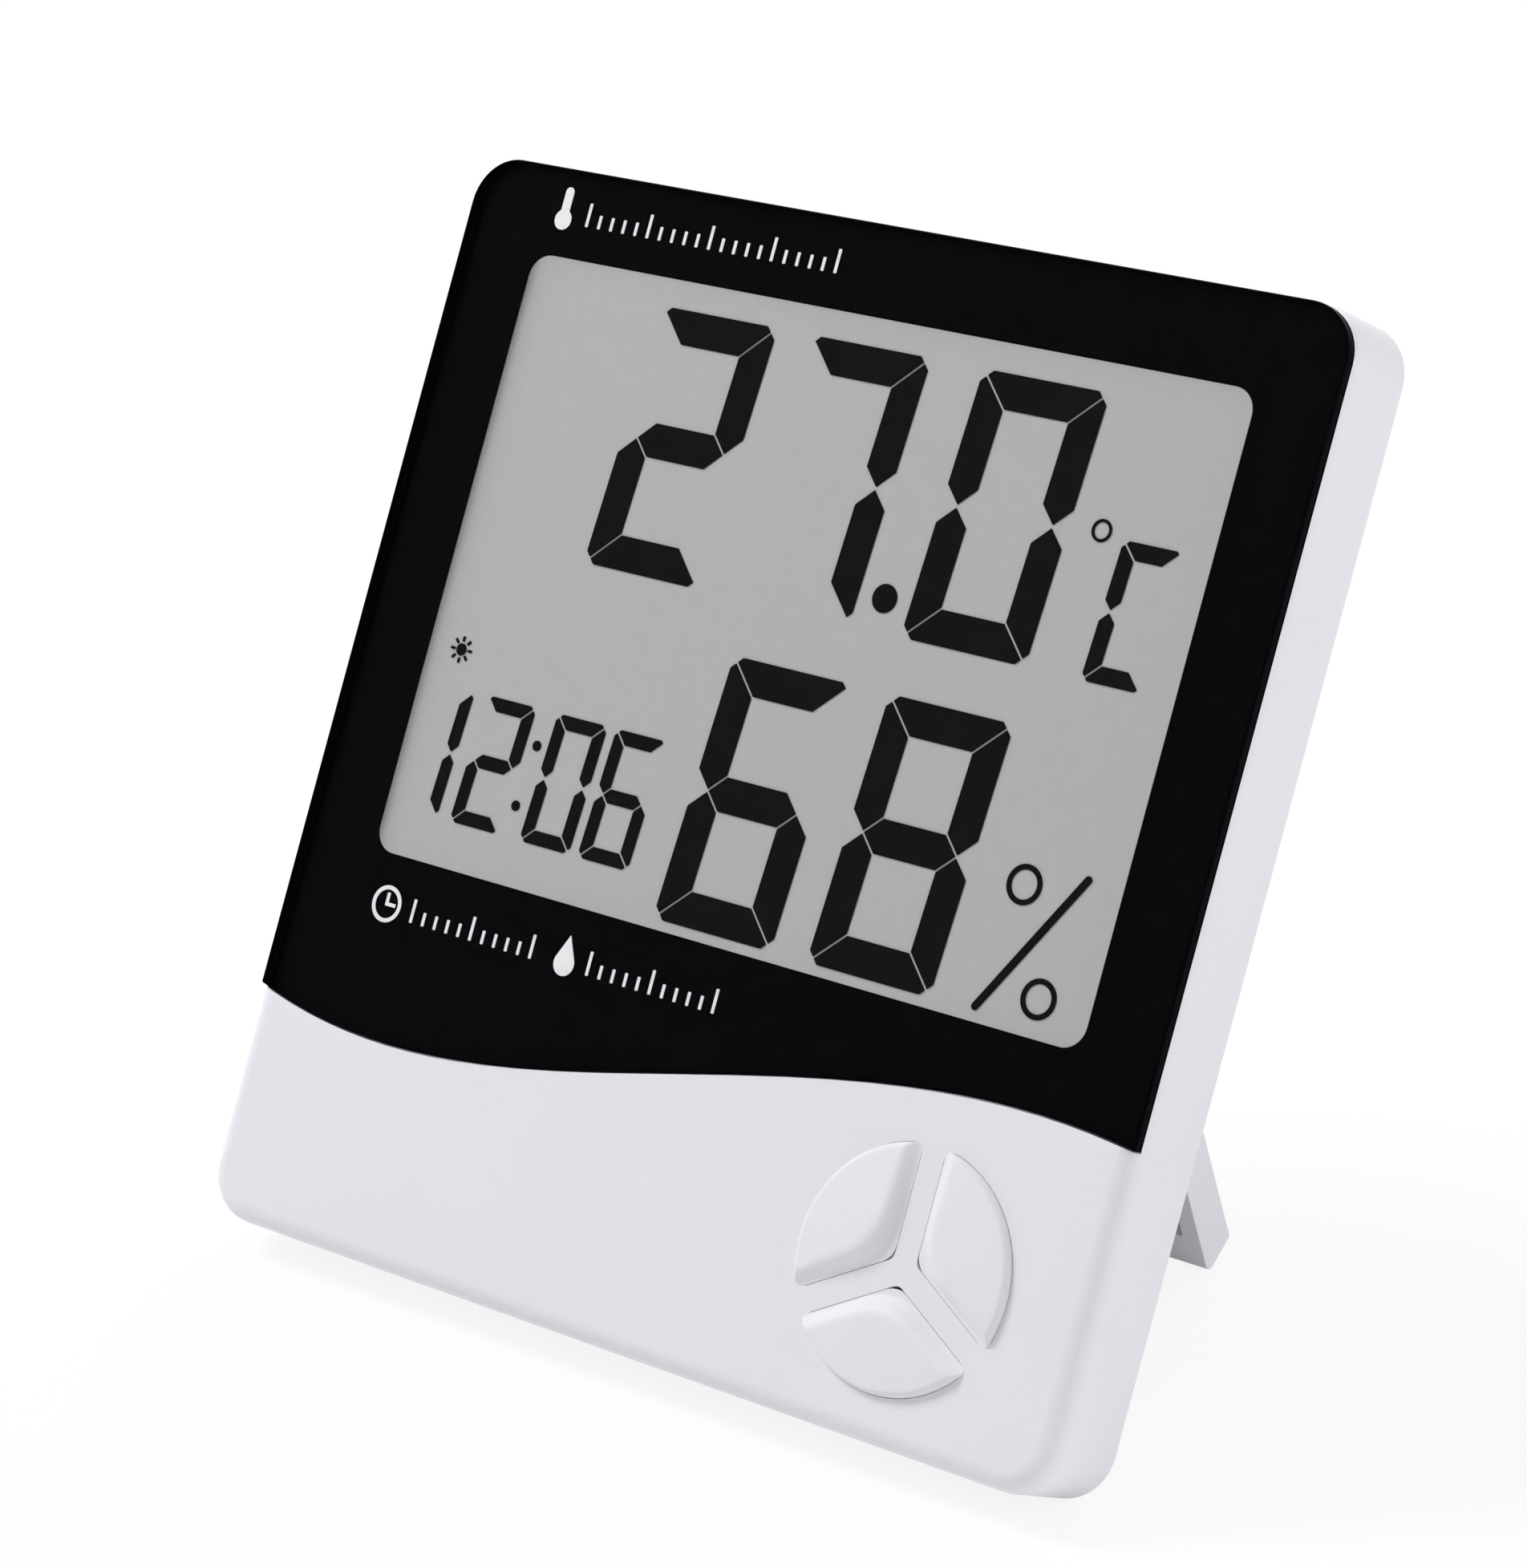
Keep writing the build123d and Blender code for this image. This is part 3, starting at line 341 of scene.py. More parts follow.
def mergedCopy(nodeName, pieceName, finishName, edgeRound=0.0, lips=None):
    bm = bmesh.new()
    bm.from_mesh(nodes[nodeName].data)
    bmesh.ops.remove_doubles(bm, verts=bm.verts, dist=mergeSettings["weld"])
    dissolveFlat(bm)
    for kind, lipRound in (lips or {}).items():
        edges = [edge for edge in bm.edges if lipKind(edge) == kind]
        bmesh.ops.bevel(bm, geom=edges, offset=lipRound * mm, segments=mergeSettings["lipSteps"],
                        profile=0.5, affect="EDGES", clamp_overlap=True)
    mesh = meshFromBm(pieceName, bm)
    if "custom_normal" in mesh.attributes:
        mesh.attributes.remove(mesh.attributes["custom_normal"])
    smoothMesh(mesh, mergeSettings["smoothAngle"])
    piece = addPiece(pieceName, mesh, finishName)
    steps = [bevelStep(edgeRound, mergeSettings["bevelAngle"])] if edgeRound else []
    return settle(piece, steps + [keepSharp])


# Moulded shells: rounds shaded smooth, sharp edges broken, and a soft lip round the front openings
shells = {
    "front_case": {"name": "frontShell", "body": "case", "slot": "case_plastic", "finish": "casePlastic",
                   "edgeRound": 0.0, "lips": {"waveLip": 0.22, "keyLip": 0.06}},
    "rear_case": {"name": "rearShell", "body": "case", "slot": "case_plastic", "finish": "casePlastic",
                  "edgeRound": 0.12},
    "stand": {"name": "standLeg", "body": "stand", "slot": "case_plastic", "finish": "casePlastic",
              "edgeRound": 0.25},
    "battery_door": {"name": "bayDoor", "body": "battery_door", "slot": "case_plastic",
                     "finish": "casePlastic", "edgeRound": 0.1},
    "rear_key_unit": {"name": "rearKeyUnit", "body": "rear_key_unit", "slot": "key_plastic",
                      "finish": "keyPlastic", "edgeRound": 0.0},
    "rear_key_reset": {"name": "rearKeyReset", "body": "rear_key_reset", "slot": "key_plastic",
                       "finish": "keyPlastic", "edgeRound": 0.0},
}
# Arrows sunk as grooves in the door, beside its grip, that point the way it slides
arrowSettings = {"side": 18.2, "width": 5.6, "height": 4.8, "line": 0.6, "depth": 0.6, "spare": 0.5}


def arrowOutline(x, z, inset):
    half, tall = arrowSettings["width"] / 2, arrowSettings["height"]
    middle = half * tall / (half + math.hypot(half, tall))  # height of the point equally far from all sides
    share = 1 - inset / middle
    corners = ((0, tall), (-half, 0), (half, 0))
    return [(x + share * side, z - tall / 2 + middle + share * (up - middle)) for side, up in corners]


def sinkArrows(door):
    low, high = caseBox("battery_door")
    cuts = bmesh.new()
    for side in (-1, 1):
        spot = (side * arrowSettings["side"], (low.z + high.z) / 2)
        arrow = ringPrism(arrowOutline(*spot, 0), arrowOutline(*spot, arrowSettings["line"]),
                          high.y - arrowSettings["depth"], high.y + arrowSettings["spare"])
        cuts.from_mesh(meshFromBm("arrow", arrow))
    cutter = addPiece("arrowCuts", meshFromBm("arrowCuts", cuts, casePlace), "casePlastic")
    settle(door, [booleanStep(cutter, "DIFFERENCE"), keepSharp])
    bpy.data.objects.remove(cutter)


for nodeName, values in shells.items():
    shell = mergedCopy(nodeName, values["name"], values["finish"], values["edgeRound"],
                       values.get("lips"))
    if nodeName == "battery_door":
        sinkArrows(shell)
    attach(shell, values["body"])
    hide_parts(nodeName)
print("shells copied:", len(shells))

# Display pane: the lens with the display's front layers behind its window, clear with a black rim
paneSettings = {
    "windowCorner": 2.3, "windowSteps": 10, "glassMargin": 1.62, "wallGap": 0.02, "sink": 0.2,
    "glassCorner": 0.3, "glassSteps": 4, "edgeBevel": 0.12, "bevelAngle": 50, "smoothAngle": 30,
    "rimFacing": 0.98,
}


def displayOutline(margin, corner, steps):
    low, high = caseBox("lcd_reflector")
    middle = (low.z + high.z) / 2
    points = roundedRect(high.x - margin, (high.z - low.z) / 2 - margin, corner, steps)
    return [(x, z + middle) for x, z in points]


def glassOutline():
    return displayOutline(0, paneSettings["glassCorner"], paneSettings["glassSteps"])


def makePane():
    layers = ("display_lens", "lens_mask", "lcd_front_glass")
    lensBack, maskBack, glassBack = (caseBox(layer)[1].y for layer in layers)
    gap, sink = paneSettings["wallGap"], paneSettings["sink"]
    window = displayOutline(paneSettings["glassMargin"], paneSettings["windowCorner"],
                            paneSettings["windowSteps"])
    blocks = {
        "paneNeck": prism(window, lensBack - sink, maskBack + sink),
        "paneGlass": prism(glassOutline(), maskBack + gap, glassBack - gap),
    }
    pane = mergedCopy("display_lens", "displayPane", "lensClear")
    steps = [bevelStep(paneSettings["edgeBevel"], paneSettings["bevelAngle"])]
    helpers = []
    for name, bm in blocks.items():
        helpers.append(addPiece(name, meshFromBm(name, bm, casePlace), "lensClear"))
        steps.append(booleanStep(helpers[-1], "UNION"))
    settle(pane, steps)
    for helper in helpers:
        bpy.data.objects.remove(helper)
    pane.data.materials.clear()
    for finishName in ("lensClear", "lensBlack"):
        pane.data.materials.append(finishes[finishName])
    for polygon in pane.data.polygons:
        facing = abs(polygon.normal.dot(caseBack))
        onRim = (toCase @ polygon.center).y < lensBack and facing < paneSettings["rimFacing"]
        polygon.material_index = 1 if onRim else 0
    smoothMesh(pane.data, paneSettings["smoothAngle"])
    settle(pane, [keepSharp])
    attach(pane, "case")
    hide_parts("display_lens", "lcd_front_polarizer", "lcd_front_glass")
    # The print is thin and takes no light away, so the display stays evenly lit up to the print's edge
    nodes["lens_mask"].visible_shadow = False
    nodes["lens_mask"].visible_diffuse = False


def makeDisplayBack():
    glassFront = caseBox("lcd_rear_glass")[0].y
    plateBack = caseBox("lcd_reflector")[1].y
    plate = prism(glassOutline(), glassFront, plateBack)
    piece = addPiece("displayBack", meshFromBm("displayBack", plate, casePlace), "displayBack")
    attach(piece, "case")
    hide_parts("lcd_rear_glass", "lcd_reflector")


makePane()
makeDisplayBack()
print("display pane made")

# Printed signs behind the lens: tick scales from a node tree, beside a thermometer, a dial and a drop
signSettings = {
    "upperRise": 2.6, "lowerDrop": 6.6, "arcSteps": 40,
    "ticks": {"pitch": 1.5, "group": 5, "width": 0.32, "shortTick": 1.3, "longTick": 2.3, "lift": 0.7},
    "scales": {"upper": (5.4, 21), "lowerLeft": (6.8, 11), "lowerRight": (28.8, 11)},
    "thermometer": {"side": 2.4, "bulb": 1.0, "stem": 0.5, "height": 4.2},
    "dial": {"side": 3.4, "radius": 1.8, "stroke": 0.4, "hand": 1.1, "handWidth": 0.35},
    "drop": {"side": 25.9, "radius": 1.2, "height": 3.9},
}


def addInputs(tree, sockets):
    identifiers = {}
    for name, kind in sockets:
        identifiers[name] = tree.interface.new_socket(name, in_out="INPUT", socket_type=kind).identifier
    tree.interface.new_socket("Geometry", in_out="OUTPUT", socket_type="NodeSocketGeometry")
    return identifiers


def endTree(tree, instances, finishSocket):
    realize = tree.nodes.new("GeometryNodeRealizeInstances")
    paint = tree.nodes.new("GeometryNodeSetMaterial")
    leave = tree.nodes.new("NodeGroupOutput")
    tree.links.new(instances, realize.inputs["Geometry"])
    tree.links.new(realize.outputs["Geometry"], paint.inputs["Geometry"])
    tree.links.new(finishSocket, paint.inputs["Material"])
    tree.links.new(paint.outputs["Geometry"], leave.inputs["Geometry"])


def runTree(tree, identifiers, mesh, values):
    holder = bpy.data.objects.new(tree.name, mesh)
    scene.collection.objects.link(holder)
    modifier = holder.modifiers.new(tree.name, "NODES")
    modifier.node_group = tree
    for name, value in values.items():
        modifier[identifiers[name]] = value
    result = evaluatedMesh(holder)
    bpy.data.objects.remove(holder)
    return result


def mathNode(tree, operation, first, second):
    node = tree.nodes.new("ShaderNodeMath")
    node.operation = operation
    for socket, value in zip(node.inputs, (first, second)):
        if isinstance(value, (int, float)):
            socket.default_value = value
        else:
            tree.links.new(value, socket)
    return node.outputs[0]


def makeTickTree():
    tree = bpy.data.node_groups.new("tickScale", "GeometryNodeTree")
    identifiers = addInputs(tree, [
        ("count", "NodeSocketInt"), ("pitch", "NodeSocketFloat"), ("group", "NodeSocketInt"),
        ("width", "NodeSocketFloat"), ("depth", "NodeSocketFloat"), ("shortTick", "NodeSocketFloat"),
        ("longTick", "NodeSocketFloat"), ("finish", "NodeSocketMaterial")])
    enter = tree.nodes.new("NodeGroupInput")
    line = tree.nodes.new("GeometryNodeMeshLine")
    step = tree.nodes.new("ShaderNodeCombineXYZ")
    tree.links.new(enter.outputs["pitch"], step.inputs["X"])
    tree.links.new(enter.outputs["count"], line.inputs["Count"])
    tree.links.new(step.outputs["Vector"], line.inputs["Offset"])
    index = tree.nodes.new("GeometryNodeInputIndex")
    within = mathNode(tree, "MODULO", index.outputs["Index"], enter.outputs["group"])
    isLong = mathNode(tree, "LESS_THAN", within, 0.5)  # the first of each group
    more = mathNode(tree, "SUBTRACT", enter.outputs["longTick"], enter.outputs["shortTick"])
    tall = mathNode(tree, "ADD", enter.outputs["shortTick"], mathNode(tree, "MULTIPLY", isLong, more))
    size = tree.nodes.new("ShaderNodeCombineXYZ")
    tree.links.new(enter.outputs["width"], size.inputs["X"])
    tree.links.new(enter.outputs["depth"], size.inputs["Y"])
    tree.links.new(tall, size.inputs["Z"])
    tick = tree.nodes.new("GeometryNodeMeshCube")
    foot = tree.nodes.new("GeometryNodeTransform")
    foot.inputs["Translation"].default_value = (0, 0.5, 0.5)  # the unit cube stands on its point
    place = tree.nodes.new("GeometryNodeInstanceOnPoints")
    tree.links.new(tick.outputs["Mesh"], foot.inputs["Geometry"])
    tree.links.new(line.outputs["Mesh"], place.inputs["Points"])
    tree.links.new(foot.outputs["Geometry"], place.inputs["Instance"])
    tree.links.new(size.outputs["Vector"], place.inputs["Scale"])
    endTree(tree, place.outputs["Instances"], enter.outputs["finish"])
    return tree, identifiers


def arcPoints(x, z, radius, startTurn, endTurn):
    steps = signSettings["arcSteps"]
    turns = [math.radians(startTurn + (endTurn - startTurn) * step / steps) for step in range(steps + 1)]
    return [(x + radius * math.cos(turn), z + radius * math.sin(turn)) for turn in turns]


def thermometerOutline(x, z):
    values = signSettings["thermometer"]
    neck = math.degrees(math.acos(values["stem"] / values["bulb"]))
    points = arcPoints(x, z + values["bulb"], values["bulb"], 180 - neck, 360 + neck)
    return points + arcPoints(x, z + values["height"] - values["stem"], values["stem"], 0, 180)


def dropOutline(x, z):
    values = signSettings["drop"]
    centre = z + values["radius"]
    lift = values["height"] - values["radius"]
    turn = math.degrees(math.asin(values["radius"] / lift))
    return arcPoints(x, centre, values["radius"], 180 - turn, 360 + turn) + [(x, z + values["height"])]


def dialHands(x, z):
    values = signSettings["dial"]
    half = values["handWidth"] / 2
    return [(x - half, z - half), (x + values["hand"], z - half), (x + values["hand"], z + half),
            (x + half, z + half), (x + half, z + values["hand"]), (x - half, z + values["hand"])]


def makeSigns():
    low, high = caseBox("lens_icons")
    backLow, backHigh = caseBox("lcd_reflector")
    margin = paneSettings["glassMargin"] - paneSettings["wallGap"]
    left = backLow.x + margin
    upper = backHigh.z - margin + signSettings["upperRise"]
    lower = backLow.z + margin - signSettings["lowerDrop"]
    tree, identifiers = makeTickTree()
    tickValues = dict(signSettings["ticks"])
    lift = tickValues.pop("lift")
    tickValues.update(depth=high.y - low.y, finish=finishes["printWhite"])
    signs = bmesh.new()
    for name, (side, count) in signSettings["scales"].items():
        ticks = runTree(tree, identifiers, bpy.data.meshes.new(name), dict(tickValues, count=count))
        row = upper if name == "upper" else lower
        ticks.transform(Matrix.Translation((left + side, low.y, row + lift)))
        signs.from_mesh(ticks)
    dial = signSettings["dial"]
    dialX, dialZ = left + dial["side"], lower + dial["radius"]
    dialRings = [arcPoints(dialX, dialZ, size, 0, 360)[:-1]
                 for size in (dial["radius"], dial["radius"] - dial["stroke"])]
    marks = [
        prism(thermometerOutline(left + signSettings["thermometer"]["side"], upper), low.y, high.y),
        prism(dropOutline(left + signSettings["drop"]["side"], lower), low.y, high.y),
        prism(dialHands(dialX, dialZ), low.y, high.y),
        ringPrism(*dialRings, low.y, high.y),
    ]
    for mark in marks:
        signs.from_mesh(meshFromBm("mark", mark))
    piece = addPiece("lensSigns", meshFromBm("lensSigns", signs, casePlace), "printWhite")
    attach(piece, "case")
    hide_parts("lens_icons")


makeSigns()
print("lens signs printed")

# Case screws: one pan-head screw with a cross recess, set on its four places by a node tree
screwSettings = {
    "head": 2.0, "headHeight": 1.2, "headRound": 0.5, "headRise": 0.6, "headSteps": 6,
    "shaft": 1.0, "tipRadius": 0.6, "around": 48, "smoothAngle": 35, "seed": 4, "clean": 0.001,
    "crossReach": 1.25, "crossWidth": 0.55, "crossDepth": 0.65, "crossTaper": 0.7,
}


def screwProfile(length):
    head, top, curve = screwSettings["head"], screwSettings["headHeight"], screwSettings["headRound"]
    shaft, rise, steps = screwSettings["shaft"], screwSettings["headRise"], screwSettings["headSteps"]
    tip = [(0, -length), (screwSettings["tipRadius"], -length)]
    profile = tip + [(shaft, shaft - length), (shaft, 0), (head, 0)]
    for step in range(steps + 1):
        turn = math.radians(90 * step / steps)
        profile.append((head - curve + curve * math.cos(turn), top - rise + rise * math.sin(turn)))
    return profile + [(0, top)]


def lathe(profile, around):
    bm = bmesh.new()
    rings = []
    for radius, z in profile:
        if radius:
            turns = [math.tau * step / around for step in range(around)]
            rings.append([bm.verts.new((radius * math.cos(t), radius * math.sin(t), z)) for t in turns])
        else:
            rings.append([bm.verts.new((0, 0, z))] * around)
    for near, far in zip(rings, rings[1:]):
        for step in range(around):
            after = (step + 1) % around
            corners = []
            for vert in (near[step], near[after], far[after], far[step]):
                if vert not in corners:
                    corners.append(vert)
            bm.faces.new(corners)
    bmesh.ops.recalc_face_normals(bm, faces=bm.faces)
    return bm


def crossCutter():
    reach, half = screwSettings["crossReach"], screwSettings["crossWidth"] / 2
    top = screwSettings["headHeight"]
    outline = []
    for turn in range(4):
        spin = Matrix.Rotation(turn * math.pi / 2, 2)
        outline += [spin @ Vector(spot) for spot in ((half, -half), (reach, -half), (reach, half))]
    bm = bmesh.new()
    upper = [bm.verts.new((x, y, top + half)) for x, y in outline]
    taper = screwSettings["crossTaper"]
    lower = [bm.verts.new((x * taper, y * taper, top - screwSettings["crossDepth"])) for x, y in outline]
    bm.faces.new(upper)
    bm.faces.new(lower)
    bandFaces(bm, upper, lower)
    bmesh.ops.recalc_face_normals(bm, faces=bm.faces)
    return bm


def makeScrewTree():
    tree = bpy.data.node_groups.new("screwSet", "GeometryNodeTree")
    identifiers = addInputs(tree, [
        ("Geometry", "NodeSocketGeometry"), ("screw", "NodeSocketObject"), ("turn", "NodeSocketVector"),
        ("seed", "NodeSocketInt"), ("finish", "NodeSocketMaterial")])
    enter = tree.nodes.new("NodeGroupInput")
    screw = tree.nodes.new("GeometryNodeObjectInfo")
    place = tree.nodes.new("GeometryNodeInstanceOnPoints")
    tree.links.new(enter.outputs["screw"], screw.inputs["Object"])
    tree.links.new(enter.outputs["Geometry"], place.inputs["Points"])
    tree.links.new(screw.outputs["Geometry"], place.inputs["Instance"])
    tree.links.new(enter.outputs["turn"], place.inputs["Rotation"])
    spin = tree.nodes.new("FunctionNodeRandomValue")
    spin.data_type = "FLOAT"
    spin.inputs[3].default_value = math.pi / 2  # the float maximum: up to a quarter turn
    tree.links.new(enter.outputs["seed"], spin.inputs["Seed"])
    about = tree.nodes.new("ShaderNodeCombineXYZ")
    tree.links.new(spin.outputs[1], about.inputs["Z"])  # the float value
    drive = tree.nodes.new("GeometryNodeRotateInstances")
    tree.links.new(place.outputs["Instances"], drive.inputs["Instances"])
    tree.links.new(about.outputs["Vector"], drive.inputs["Rotation"])
    endTree(tree, drive.outputs["Instances"], enter.outputs["finish"])
    return tree, identifiers


def makeScrews():
    low, high = caseBox("case_screws")
    head = screwSettings["head"]
    seat = high.y - screwSettings["headHeight"]
    turned = lathe(screwProfile(seat - low.y), screwSettings["around"])
    body = addPiece("screwBody", meshFromBm("screwBody", turned), "platedSteel")
    cutter = addPiece("screwCross", meshFromBm("screwCross", crossCutter()), "platedSteel")
    settle(body, [booleanStep(cutter, "DIFFERENCE")])
    cleanMesh(body.data, screwSettings["clean"])
    smoothMesh(body.data, screwSettings["smoothAngle"])
    sides, rows = (low.x + head, high.x - head), (low.z + head, high.z - head)
    places = bpy.data.meshes.new("screwPlaces")
    places.from_pydata([(x, seat, z) for x in sides for z in rows], [], [])
    tree, identifiers = makeScrewTree()
    mesh = runTree(tree, identifiers, places, {
        "screw": body, "turn": (-math.pi / 2, 0, 0), "seed": screwSettings["seed"],
        "finish": finishes["platedSteel"]})
    for helper in (body, cutter):
        bpy.data.objects.remove(helper)
    mesh.transform(casePlace)
    piece = addPiece("caseScrews", mesh, "platedSteel")
    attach(piece, "case")
    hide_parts("case_screws")


makeScrews()
print("case screws set")

# Front keys: caps that rise in a soft slope from the ribs and in a tight round from the outer arc
keySettings = {
    "flangeReach": 0.8, "spare": 0.2, "rib": 2.5, "apexRound": 1.25, "cornerRound": 0.7, "crestRound": 3.2,
    "ribSlope": 1.6, "arcRound": 0.55, "rimDrop": 0.46, "halfSpan": 60, "around": 240, "searchSteps": 40,
    "rows": (1, 0.996, 0.988, 0.977, 0.962, 0.944, 0.92, 0.89, 0.85, 0.8, 0.73, 0.64, 0.52, 0.38, 0.2),
    "flangeFront": 2.5, "flangeBack": 3.3, "stemRadius": 2.0, "stemOrbit": 6.4, "stemAround": 32,
    "smoothAngle": 40,
}


def smoothMin(a, b, blend):
    share = max(0.0, blend - abs(a - b)) / blend
    return min(a, b) - share * share * blend / 4


def keyDistances(x, z, turn, radius, rib, blend):
    sides = []
    for edge in (-keySettings["halfSpan"], keySettings["halfSpan"]):
        angle = math.radians(turn + edge)
        across = x * -math.sin(angle) + z * math.cos(angle)
        sides.append((across if edge < 0 else -across) - rib / 2)
    inner = smoothMin(sides[0], sides[1], blend)
    return inner, radius - math.hypot(x, z)


# How far the key's outline lies from its stem in one direction, found by halving
def keyExit(startX, startZ, angle, turn, radius, rib):
    near, far = 0.0, 2 * radius
    for _ in range(keySettings["searchSteps"]):
        reach = (near + far) / 2
        x = startX + reach * math.cos(angle)
        z = startZ + reach * math.sin(angle)
        inner, outer = keyDistances(x, z, turn, radius, rib, keySettings["apexRound"])
        inside = smoothMin(inner, outer, keySettings["cornerRound"]) > 0
        near, far = (reach, far) if inside else (near, reach)
    return near


def keyHeight(x, z, turn, radius, rib, rise):
    inner, outer = keyDistances(x, z, turn, radius, rib, keySettings["crestRound"])
    slope = min(max(inner / keySettings["ribSlope"], 0), 1)
    slope = slope * slope * (3 - 2 * slope)
    arc = 1 - min(max(outer / keySettings["arcRound"], 0), 1)
    arc = math.sqrt(1 - arc * arc)
    dome = 1 - keySettings["rimDrop"] * (math.hypot(x, z) / radius) ** 2
    return rise * dome * min(slope, arc)


def makeKey(name, turn, centre, radius, rise):
    count = keySettings["around"]
    orbit = keySettings["stemOrbit"]
    startX = orbit * math.cos(math.radians(turn))
    startZ = orbit * math.sin(math.radians(turn))
    angles = [math.tau * index / count for index in range(count)]
    rib = keySettings["rib"]
    reach = keySettings["flangeReach"] - keySettings["spare"]
    exits, flangeExits = (
        [keyExit(startX, startZ, angle, turn, radius + more, rib - 2 * more) for angle in angles]
        for more in (0, reach))
    bm = bmesh.new()

    def loop(reaches, share, depth):
        verts = []
        for angle, distance in zip(angles, reaches):
            x = startX + share * distance * math.cos(angle)
            z = startZ + share * distance * math.sin(angle)
            y = depth if depth is not None else -keyHeight(x, z, turn, radius, rib, rise)
            verts.append(bm.verts.new((centre[0] + x, y, centre[1] + z)))
        return verts

    loops = [
        loop(flangeExits, 1, keySettings["flangeBack"]),
        loop(flangeExits, 1, keySettings["flangeFront"]),
        loop(exits, 1, keySettings["flangeFront"]),
    ]
    loops += [loop(exits, share, None) for share in keySettings["rows"]]
    bm.faces.new(loops[0])
    for lower, upper in zip(loops, loops[1:]):
        bandFaces(bm, lower, upper)
    topY = -keyHeight(startX, startZ, turn, radius, rib, rise)
    peak = bm.verts.new((centre[0] + startX, topY, centre[1] + startZ))
    for index in range(count):
        bm.faces.new((loops[-1][index], loops[-1][(index + 1) % count], peak))
    bmesh.ops.recalc_face_normals(bm, faces=bm.faces)
    stemFront, stemBack = keySettings["flangeBack"], caseBox("button_" + name)[1].y
    stemMiddle = (centre[0] + startX, (stemFront + stemBack) / 2, centre[1] + startZ)
    bmesh.ops.create_cone(bm, cap_ends=True, segments=keySettings["stemAround"],
                          radius1=keySettings["stemRadius"], radius2=keySettings["stemRadius"],
                          depth=stemBack - stemFront,
                          matrix=Matrix.Translation(stemMiddle) @ Matrix.Rotation(math.pi / 2, 4, "X"))
    mesh = meshFromBm("key_" + name, bm, casePlace)
    smoothMesh(mesh, keySettings["smoothAngle"])
    key = addPiece("key_" + name, mesh, "keyPlastic")
    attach(key, "button_" + name)
    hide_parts("button_" + name)


keyRadius = flangeRadius - keySettings["flangeReach"] + keySettings["spare"]
for keyName, keyTurn in keyTurns.items():
    makeKey(keyName, keyTurn, keyCentre, keyRadius, -keyLow.y)
print("keys made:", len(keyTurns))

# Floor, light and camera: the floor glows white where it is looked at, less so near the clock for its shadow
stageSettings = {"floorSize": 24.0, "floorColour": (0.93, 0.93, 0.94), "floorRough": 0.9,
                 "glowNear": 0.86, "glowFar": 1.0, "fadeStart": 0.2, "fadeEnd": 0.75}


def seenDirectly(tree):
    path = tree.nodes.new("ShaderNodeLightPath")
    last = path.outputs["Is Camera Ray"]
    for ray in ("Is Glossy Ray", "Is Transmission Ray"):
        last = mathNode(tree, "MAXIMUM", last, path.outputs[ray])
    return last


def makeFloor():
    half = stageSettings["floorSize"] / 2
    corners = ((-half, -half), (half, -half), (half, half), (-half, half))
    bm = bmesh.new()
    bm.faces.new([bm.verts.new((x, y, 0)) for x, y in corners])
    mesh = meshFromBm("floor", bm)
    sockets = {"Base Color": (*stageSettings["floorColour"], 1), "Roughness": stageSettings["floorRough"]}
    paper, tree, shader = newFinish("floorPaper", **sockets)
    where = tree.nodes.new("ShaderNodeTexCoord")
    away = tree.nodes.new("ShaderNodeVectorMath")
    away.operation = "LENGTH"
    fade = tree.nodes.new("ShaderNodeMapRange")
    fade.inputs["From Min"].default_value = stageSettings["fadeStart"]
    fade.inputs["From Max"].default_value = stageSettings["fadeEnd"]
    fade.inputs["To Min"].default_value = stageSettings["glowNear"]
    fade.inputs["To Max"].default_value = stageSettings["glowFar"]
    tree.links.new(where.outputs["Object"], away.inputs[0])
    tree.links.new(away.outputs["Value"], fade.inputs["Value"])
    amount = mathNode(tree, "MULTIPLY", seenDirectly(tree), fade.outputs["Result"])
    glow = tree.nodes.new("ShaderNodeEmission")
    mix = tree.nodes.new("ShaderNodeMixShader")
    tree.links.new(amount, mix.inputs["Fac"])
    tree.links.new(shader.outputs["BSDF"], mix.inputs[1])
    tree.links.new(glow.outputs["Emission"], mix.inputs[2])
    tree.links.new(mix.outputs["Shader"], tree.nodes["Material Output"].inputs["Surface"])
    mesh.materials.append(paper)
    floor = bpy.data.objects.new("floor", mesh)
    scene.collection.objects.link(floor)


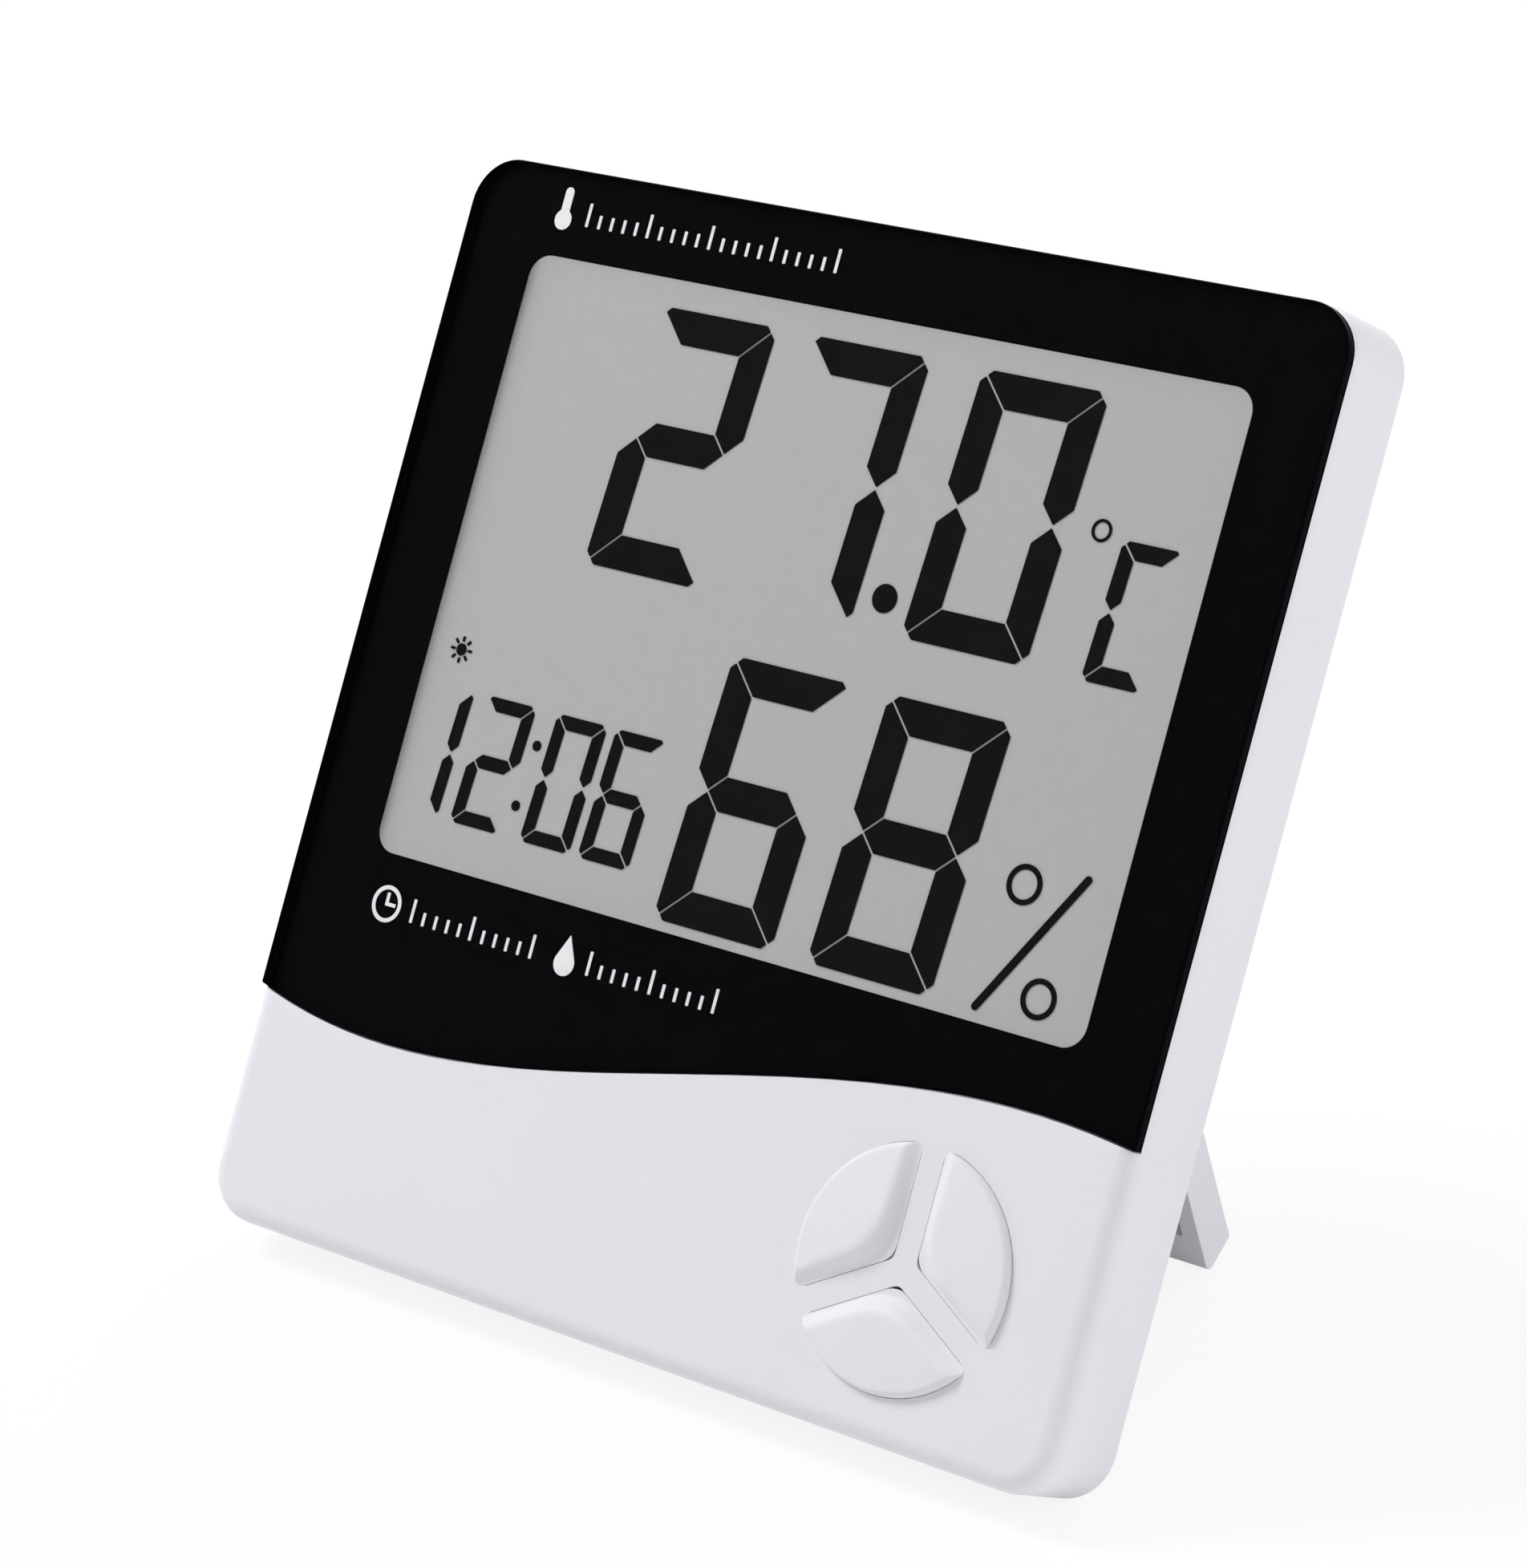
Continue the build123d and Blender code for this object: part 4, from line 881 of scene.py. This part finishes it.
lightSettings = {
    "sky": 0.43,
    "lamps": {
        "keyLamp": {"spot": (-0.86, -0.38, 1.14), "size": 0.5, "power": 13.9},
        "sideLamp": {"spot": (0.85, 0.1, 0.3), "size": 0.6, "power": 2.4},
        "rearLamp": {"spot": (-0.1, 0.85, 0.65), "size": 0.6, "power": 2.4},
    },
}


def makeWorld():
    world = bpy.data.worlds.new("studio")
    world.use_nodes = True
    scene.world = world
    tree = world.node_tree
    back = tree.nodes["Background"]
    back.inputs["Color"].default_value = (1, 1, 1, 1)
    strength = tree.nodes.new("ShaderNodeMapRange")
    strength.inputs["To Min"].default_value = lightSettings["sky"]
    strength.inputs["To Max"].default_value = 1.0
    tree.links.new(seenDirectly(tree), strength.inputs["Value"])
    tree.links.new(strength.outputs["Result"], back.inputs["Strength"])


def makeLamps():
    target = (cadBounds[0] + cadBounds[1]) / 2
    for name, values in lightSettings["lamps"].items():
        lamp = bpy.data.lights.new(name, "AREA")
        lamp.energy = values["power"]
        lamp.size = values["size"]
        holder = bpy.data.objects.new(name, lamp)
        scene.collection.objects.link(holder)
        holder.location = values["spot"]
        holder.rotation_euler = (target - Vector(values["spot"])).to_track_quat("-Z", "Y").to_euler()


cameraSettings = {
    "imageHeight": 1955, "focalPixels": 6202.6, "sensor": 36.0, "clipStart": 0.01,
    "aim": (2.04, 0, 53.78), "azimuth": 38.26, "elevation": 19.56, "distance": 453.24,
}


def makeCamera():
    camera = bpy.data.cameras.new("photoCamera")
    camera.sensor_width = cameraSettings["sensor"]
    camera.lens = cameraSettings["sensor"] * cameraSettings["focalPixels"] / cameraSettings["imageHeight"]
    camera.clip_start = cameraSettings["clipStart"]
    holder = bpy.data.objects.new("photoCamera", camera)
    scene.collection.objects.link(holder)
    aim = casePlace @ Vector(cameraSettings["aim"])
    turn = math.radians(cameraSettings["azimuth"])
    rise = math.radians(cameraSettings["elevation"])
    out = Vector((math.sin(turn) * math.cos(rise), -math.cos(turn) * math.cos(rise), math.sin(rise)))
    holder.location = aim + out * cameraSettings["distance"] * mm
    holder.rotation_euler = (-out).to_track_quat("-Z", "Y").to_euler()
    scene.camera = holder


makeFloor()
makeWorld()
makeLamps()
makeCamera()
print("stage, light and camera set")
